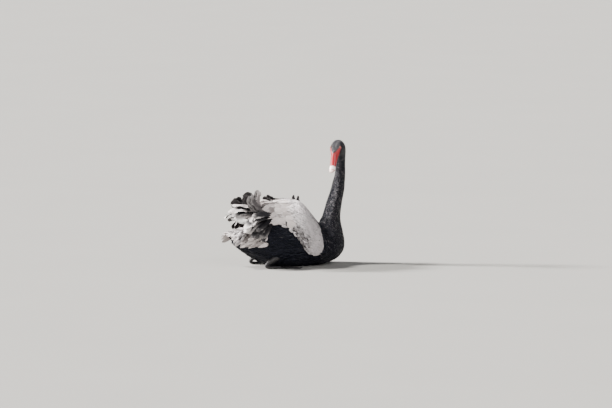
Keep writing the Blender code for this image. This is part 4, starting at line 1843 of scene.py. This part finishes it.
@dataclass
class Bill:
    """The bill's two halves: arched sections along its axis, flat where the halves meet.

    The profiles give a share of the length, a height and a half width. A hump is given as its reach
    along, its spread around the arch and its height in metres.
    """

    loft: BodyLoft
    palette: Palette
    length: float = 0.083
    slope: float = math.radians(-64)
    tomium: float = -0.0050
    gap: float = 0.0003
    rows: int = 90
    arc_points: int = 45
    flat_points: int = 15
    flat_reach: float = 0.94
    upper: Table = (
        (0.00, 0.0180, 0.0166),
        (0.14, 0.0150, 0.0164),
        (0.30, 0.0112, 0.0158),
        (0.50, 0.0074, 0.0148),
        (0.68, 0.0048, 0.0146),
        (0.82, 0.0034, 0.0144),
        (0.92, 0.0023, 0.0124),
        (0.98, 0.0002, 0.0082),
        (1.00, -0.0025, 0.0046),
    )
    lower: Table = (
        (0.00, -0.0178, 0.0150),
        (0.20, -0.0152, 0.0146),
        (0.45, -0.0126, 0.0134),
        (0.70, -0.0102, 0.0130),
        (0.86, -0.0088, 0.0112),
        (0.93, -0.0072, 0.0066),
    )
    nostril: Span = (0.42, 0.62)
    nostril_dent: Triple = (0.045, 0.22, 0.0013)
    nostril_lip: Triple = (0.075, 0.36, 0.0007)
    band: Span = (0.60, 0.79)
    band_wave: Span = (0.012, 0.003)
    colour_fade: float = 0.03
    nail_start: float = 0.82
    nail_half_width: float = 0.0096
    nail_height: float = 0.0005

    def half(self, name: str, profile: Table, tomium: float) -> None:
        """One half of the bill.

        The arch is half_width cos(a) across and height sin(a) high. The nostril is a dent on each
        side of the upper half, and the nail a low swelling at its tip.

        Args:
            name: the node that this half replaces.
            profile: share of the length, height and half width.
            tomium: the height of the flat between the halves.
        """
        table = np.array(profile)
        place = np.linspace(0, len(table) - 1, self.rows)
        share, height, half_width = (v[:, None] for v in np.moveaxis(through_rows(table, place), -1, 0))
        arc = np.linspace(0, math.pi, self.arc_points)[None, :]
        flat = np.linspace(-self.flat_reach, self.flat_reach, self.flat_points)[None, :]
        swell = self.features(share, arc, half_width) if height[0, 0] > tomium else 0.0
        across = np.concatenate([half_width * np.cos(arc), half_width * flat], axis=1)
        arch = (height - tomium) * np.sin(arc) + swell
        rise = np.concatenate([arch, np.zeros((self.rows, self.flat_points))], axis=1) + tomium
        base, forward, dorsal, left, lean = self.frame()
        along = share * self.length + lean * rise * (1 - share) ** 2 + self.gap
        rings = base + along[..., None] * forward + rise[..., None] * dorsal + across[..., None] * left
        height, length = self.band_wave
        waved = share + height * np.sin(across / length)
        start, end = (ease(waved, edge, edge + self.colour_fade) for edge in self.band)
        nail = self.on_nail(share, across, self.colour_fade, (1.0, 1.4))
        plan = tube_plan(rings, {"band": start * (1 - end), "nail": nail})
        put_in_scene(f"{name}_horn", plan, self.palette.bill, "bill_red", name)

    def on_nail(self, share: Array, across: Array, fade: float, edges: Span) -> Array:
        """How far points lie on the nail, 1 well inside it.

        Args:
            share: share of the bill's length.
            across: metres from the bill's middle.
            fade: the share of the length over which the nail's rear edge comes in.
            edges: the shares of the nail's half width where its sides start to fade and end.

        Returns:
            The share for each point.
        """
        near, far = (self.nail_half_width * edge for edge in edges)
        sides = ease(np.abs(across), near, far)
        return ease(share, self.nail_start, self.nail_start + fade) * (1 - sides)

    def features(self, share: Array, arc: Array, half_width: Array) -> Array:
        """Heights of the nostrils, dents with raised lips, and of the nail, over the arch.

        Args:
            share: share of the bill's length.
            arc: angles over the arch.
            half_width: the section's half width.

        Returns:
            The heights, none at the arch's two feet.
        """
        place, angle = self.nostril
        dent, lip = (
            height * hump(share - place, reach)
            * sum(hump(arc - math.pi / 2 - turn, spread) for turn in (angle, -angle))
            for reach, spread, height in (self.nostril_dent, self.nostril_lip)
        )
        nail = self.nail_height * self.on_nail(share, half_width * np.cos(arc), 0.04, (0.8, 1.2))
        return (lip - dent + nail) * np.sin(arc)

    def frame(self) -> tuple[Array, Array, Array, Array, float]:
        """Where the bill sits on the head.

        Returns:
            Base centre, forward, dorsal and left directions of the bill, and how far its base leans.
        """
        base, up, side, _ = self.loft.sections(np.array(float(PLACE["bill_base"])))
        left = unit(side)
        forward = np.cross(left, UP) * math.cos(self.slope) + UP * math.sin(self.slope)
        dorsal = np.cross(forward, left)
        across = unit(np.cross(side, up))
        return base, forward, dorsal, left, float(-np.dot(dorsal, across) / np.dot(forward, across))

    def halves(self) -> None:
        """The upper and the lower half."""
        self.half("bill_upper", self.upper, self.tomium)
        self.half("bill_lower", self.lower, self.tomium - self.gap)


@dataclass
class Eye(Sided):
    """One eye: a wet ball with a raised cornea, in a ring of lid.

    Angles are from the outward axis, the lid's in degrees, the pole's and the cornea's in radians.
    """

    body: Body
    radius: float = 0.0062
    proud: float = 0.0017
    rows: int = 40
    columns: int = 40
    pole: float = 0.02
    cornea_height: float = 0.0004
    cornea_reach: float = 0.5
    ring_full: float = 60.0
    lid_opening: float = 40.0
    lid_almond: float = 7.0
    lid_reach: float = 72.0
    lid_thickness: float = 0.0007
    lid_steps: int = 64
    lid_sides: int = 14

    def axes(self) -> tuple[Array, Array, Array, Array]:
        """Where the ball sits.

        Returns:
            The ball's centre, and the directions outward, forward and up on the head.
        """
        angle = np.array(self.body.eye_angle * self.side)
        place = np.array(self.body.eye_place)
        outward = self.body.loft.radial(place, angle)
        centre = self.body.loft.point(place, angle) + outward * (self.proud - self.radius)
        ahead, _ = self.body.loft.slopes(place, angle)
        forward = unit(ahead - outward * np.dot(ahead, outward))
        return centre, outward, forward, np.cross(outward, forward)

    def about(self, polar: Array, turn: Array, distance: Array) -> Array:
        """Points about the ball's centre.

        Args:
            polar: angles from the outward axis, in radians.
            turn: angles about that axis, from forward to up, in radians.
            distance: metres from the centre.

        Returns:
            The points.
        """
        centre, outward, forward, up = self.axes()
        aside = np.cos(turn)[..., None] * forward + np.sin(turn)[..., None] * up
        sight = np.cos(polar)[..., None] * outward + np.sin(polar)[..., None] * aside
        return centre + distance[..., None] * sight

    def ball(self) -> None:
        """A sphere of rings about its outward axis, swollen a little in front for the cornea."""
        polar = np.linspace(self.pole, math.pi - self.pole, self.rows)[:, None]
        radius = self.radius + self.cornea_height * hump(polar, self.cornea_reach)
        rings = self.about(polar, turns(self.columns)[None, :], radius)
        value = np.broadcast_to(np.degrees(polar) / self.ring_full, rings.shape[:2])
        self.put("eyeball", tube_plan(rings, {"ring": value}), self.palette.eye, "eye_red", "eye")

    def lid(self) -> None:
        """Both lids as one closed band on the ball, from an almond opening out under the feathers.

        The band's section is an oval in angle from the outward axis and in distance from the centre.
        """
        steps, sides = self.lid_steps, self.lid_sides
        turn = turns(steps)[:, None]
        section = turns(sides)[None, :]
        opening = self.lid_opening - self.lid_almond * np.abs(np.sin(turn))
        middle, half = (self.lid_reach + opening) / 2, (self.lid_reach - opening) / 2
        distance = self.radius + self.lid_thickness * (0.25 + 0.75 * np.sin(section))
        points = self.about(np.radians(middle + half * np.cos(section)), turn, distance)
        quads, corners = grid_quads(steps + 1, sides, wrap=True)
        plan = MeshPlan(
            points=points.reshape(-1, 3),
            quads=quads % (steps * sides),
            triangles=NO_TRIANGLES,
            maps={BAKE_MAP: corners.reshape(-1, 2) * 0.96 + 0.02},
        )
        self.put("eyelid", plan, self.palette.lid, "leg_skin")


@dataclass
class Leg(Sided):
    """One tucked leg: shank and tarsus as a tapering tube, a webbed foot, and claws.

    The line gives place, outwards, height and radius down the leg. Headings are in degrees.
    """

    line: Table = (
        (-0.084, 0.088, 0.062, 0.0190),
        (-0.120, 0.096, 0.046, 0.0150),
        (-0.149, 0.100, 0.030, 0.0100),
        (-0.163, 0.102, 0.0175, 0.0078),
        (-0.155, 0.103, 0.0085, 0.0072),
        (-0.130, 0.104, 0.0066, 0.0060),
        (-0.092, 0.106, 0.0066, 0.0060),
    )
    rings: int = 60
    sides: int = 28
    lowest: float = 0.0008
    toe_root: Span = (-0.094, 0.106)
    toe_lengths: Triple = (0.088, 0.104, 0.094)
    toe_headings: Triple = (-9, 7, 24)
    toe_height: float = 0.0078
    toe_half_width: float = 0.0042
    toe_taper: float = 0.55
    toe_margin: float = 5
    web_height: float = 0.0026
    web_hollow: float = 0.016
    web_half_angle: float = 8
    knuckles: int = 4
    knuckle_swell: float = 0.12
    foot_grid: tuple[int, int] = (60, 90)
    claw_grid: tuple[int, int] = (12, 14)
    claw_reach: Span = (-0.006, 0.006)
    claw_radius: float = 0.0021
    claw_taper: float = 0.88
    claw_heights: Span = (0.0030, 0.0018)

    def shank(self) -> None:
        """A tube about the leg's middle line, its rings across the line's slope, flattened on the floor."""
        table = np.array(self.line) * np.array([1.0, self.side, 1.0, 1.0])
        path = through_rows(table, np.linspace(0, len(table) - 1, self.rings))
        ahead = unit(np.gradient(path[:, :3], axis=0))
        wide = unit(np.cross(ahead, np.cross([0.0, 1.0, 0.0], ahead)))
        high = np.cross(wide, ahead)
        turn = turns(self.sides)[None, :, None]
        ring = np.cos(turn) * wide[:, None] + np.sin(turn) * high[:, None]
        rings = path[:, None, :3] + ring * path[:, None, 3:]
        rings[..., 2] = np.maximum(rings[..., 2], self.lowest)
        self.put("shank", tube_plan(rings, {}), self.palette.foot, "leg_skin", "leg")

    def foot(self) -> None:
        """Toes as ridges along their headings, knuckled, with a hollow-edged web between them."""
        rows, columns = self.foot_grid
        first, last = self.toe_headings[0] - self.toe_margin, self.toe_headings[-1] + self.toe_margin
        share = np.linspace(0.06, 1.0, rows)[:, None]
        heading = np.linspace(first, last, columns)[None, :]
        length = np.interp(heading, self.toe_headings, self.toe_lengths)
        nearest = np.abs(heading[..., None] - np.array(self.toe_headings)).min(axis=-1)
        reach = share * (length - self.web_hollow * ease(nearest, 0, self.web_half_angle))
        knuckle = 1 + self.knuckle_swell * np.cos(FULL_TURN * self.knuckles * share)
        thickness = (1 - self.toe_taper * share) * knuckle
        ridge = hump(np.radians(nearest) * reach, self.toe_half_width) * thickness
        height = self.web_height * (1 - 0.5 * share) + (self.toe_height - self.web_height) * ridge
        x = self.toe_root[0] + reach * np.cos(np.radians(heading))
        y = self.side * (self.toe_root[1] + reach * np.sin(np.radians(heading)))
        outer, inner = (stacked(x, y, z) for z in (height, np.zeros_like(x)))
        self.put("webbed_foot", shell_plan(outer, inner, {}), self.palette.foot, "leg_skin", "foot")

    def claws(self) -> None:
        """A small curved cone at the end of each toe, kept above the floor."""
        steps, sides = self.claw_grid
        root = np.array([self.toe_root[0], self.side * self.toe_root[1], 0.0])
        share = np.linspace(0.0, 1.0, steps)[:, None]
        turn = turns(sides)[None, :]
        radius = self.claw_radius * (1 - self.claw_taper * share)
        level = between(self.claw_heights, share**2)
        plans = []
        for heading, length in zip(self.toe_headings, self.toe_lengths):
            forward = heading_vector(heading, self.side)
            rings = (
                root
                + (length + between(self.claw_reach, share))[..., None] * forward
                + (radius * np.cos(turn))[..., None] * np.cross(UP, forward)
                + (level + radius * np.sin(turn))[..., None] * UP
            )
            plans.append(tube_plan(rings, {}))
        self.put("claws", joined(plans), self.palette.claw, "leg_skin")


@dataclass(frozen=True)
class Lamp:
    """A soft even light that shines along a direction, its softness in degrees."""

    name: str
    sight: Triple
    softness: float
    power: float
    colour: Triple

    def hang(self) -> None:
        """Puts the light in the scene."""
        lamp = bpy.data.lights.new(self.name, "SUN")
        lamp.angle = math.radians(self.softness)
        lamp.energy = self.power
        lamp.color = self.colour
        holder = bpy.data.objects.new(self.name, lamp)
        holder.rotation_euler = look_along(np.array(self.sight))
        bpy.context.scene.collection.objects.link(holder)


@dataclass
class Studio:
    """The plain pale floor, the soft lights and the camera at the photograph's angle.

    The key light is high on the photograph's left, the rim light behind it; the fill is weak.
    """

    target: Triple = (0.067, -0.027, 0.290)
    azimuth: float = math.radians(-22)
    elevation: float = math.radians(6)
    distance: float = 20.0
    frame_width: float = 2.876
    sensor: float = 36.0
    clip_end: float = 200.0
    floor_size: float = 60.0
    floor_colours: tuple[Triple, Triple] = ((0.28, 0.275, 0.26), (0.2632, 0.2585, 0.2444))
    sky: Triple = (0.80, 0.84, 0.90)
    sky_strength: float = 0.22
    lamps: tuple[Lamp, ...] = (
        Lamp("key_light", (0.56, -0.25, -0.77), 9.0, 7.5, (1.0, 0.97, 0.93)),
        Lamp("rim_light", (0.80, -0.44, -0.46), 8.0, 16.0, (1.0, 0.97, 0.95)),
        Lamp("fill_light", (-0.10, 0.86, -0.50), 40.0, 2.4, (1.0, 0.97, 0.96)),
    )

    def floor(self) -> None:
        """A pale floor at the level that the model rests on."""
        half = self.floor_size / 2
        mesh = bpy.data.meshes.new("floor")
        corners = [(-half, -half, 0), (half, -half, 0), (half, half, 0), (-half, half, 0)]
        mesh.from_pydata(corners, [], [(0, 1, 2, 3)])
        board = Board("floor")
        board.colour(board.blend(board.noise(1.5), *self.floor_colours))
        board.set(Roughness=0.8)
        mesh.materials.append(board.material)
        floor = bpy.data.objects.new("floor", mesh)
        bpy.context.scene.collection.objects.link(floor)

    def light(self) -> None:
        """The lamps and a pale sky."""
        for lamp in self.lamps:
            lamp.hang()
        world = bpy.data.worlds.new("sky")
        world.use_nodes = True
        background = world.node_tree.nodes["Background"]
        background.inputs["Color"].default_value = (*self.sky, 1.0)
        background.inputs["Strength"].default_value = self.sky_strength
        bpy.context.scene.world = world

    def camera(self) -> None:
        """A long lens far off: width of view = distance * sensor / lens."""
        level = math.cos(self.elevation)
        sight = np.array(
            [-math.sin(self.azimuth) * level, math.cos(self.azimuth) * level, -math.sin(self.elevation)]
        )
        lens = bpy.data.cameras.new("camera")
        lens.sensor_width = self.sensor
        lens.lens = self.distance * self.sensor / self.frame_width
        lens.clip_end = self.clip_end
        holder = bpy.data.objects.new("camera", lens)
        holder.location = np.array(self.target) - sight * self.distance
        holder.rotation_euler = look_along(sight)
        bpy.context.scene.collection.objects.link(holder)
        bpy.context.scene.camera = holder


def look_along(sight: Array) -> Triple:
    """The Euler turn that points an object's -Z along a sight line, with its +Y upwards."""
    x, y, z = unit(np.asarray(sight, float))
    return math.acos(-z), 0.0, math.atan2(-x, y)


def main() -> None:
    """Builds every piece in order."""
    logging.basicConfig(level=logging.INFO, format="%(name)s %(message)s")
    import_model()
    palette = Palette()
    loft = BodyLoft()
    body = Body(loft, palette)
    body.skin()
    body.coats()
    Bill(loft, palette).halves()
    tail = Tail(loft, palette)
    tail.fan()
    tail.coverts()
    tail.undertail()
    tail.rump_feathers()
    mantle = Mantle(loft, palette)
    mantle.coat()
    mantle.raised()
    for side_name in SIDES:
        wing = Wing(palette, side_name, loft)
        wing.bulk()
        wing.coverts()
        wing.scapulars()
        plumes = Plumes(palette, side_name)
        plumes.ruffled()
        plumes.flight_feathers()
        eye = Eye(palette, side_name, body)
        eye.ball()
        eye.lid()
        leg = Leg(palette, side_name)
        leg.shank()
        leg.foot()
        leg.claws()
    studio = Studio()
    studio.floor()
    studio.light()
    studio.camera()


if __name__ == "__main__":
    main()
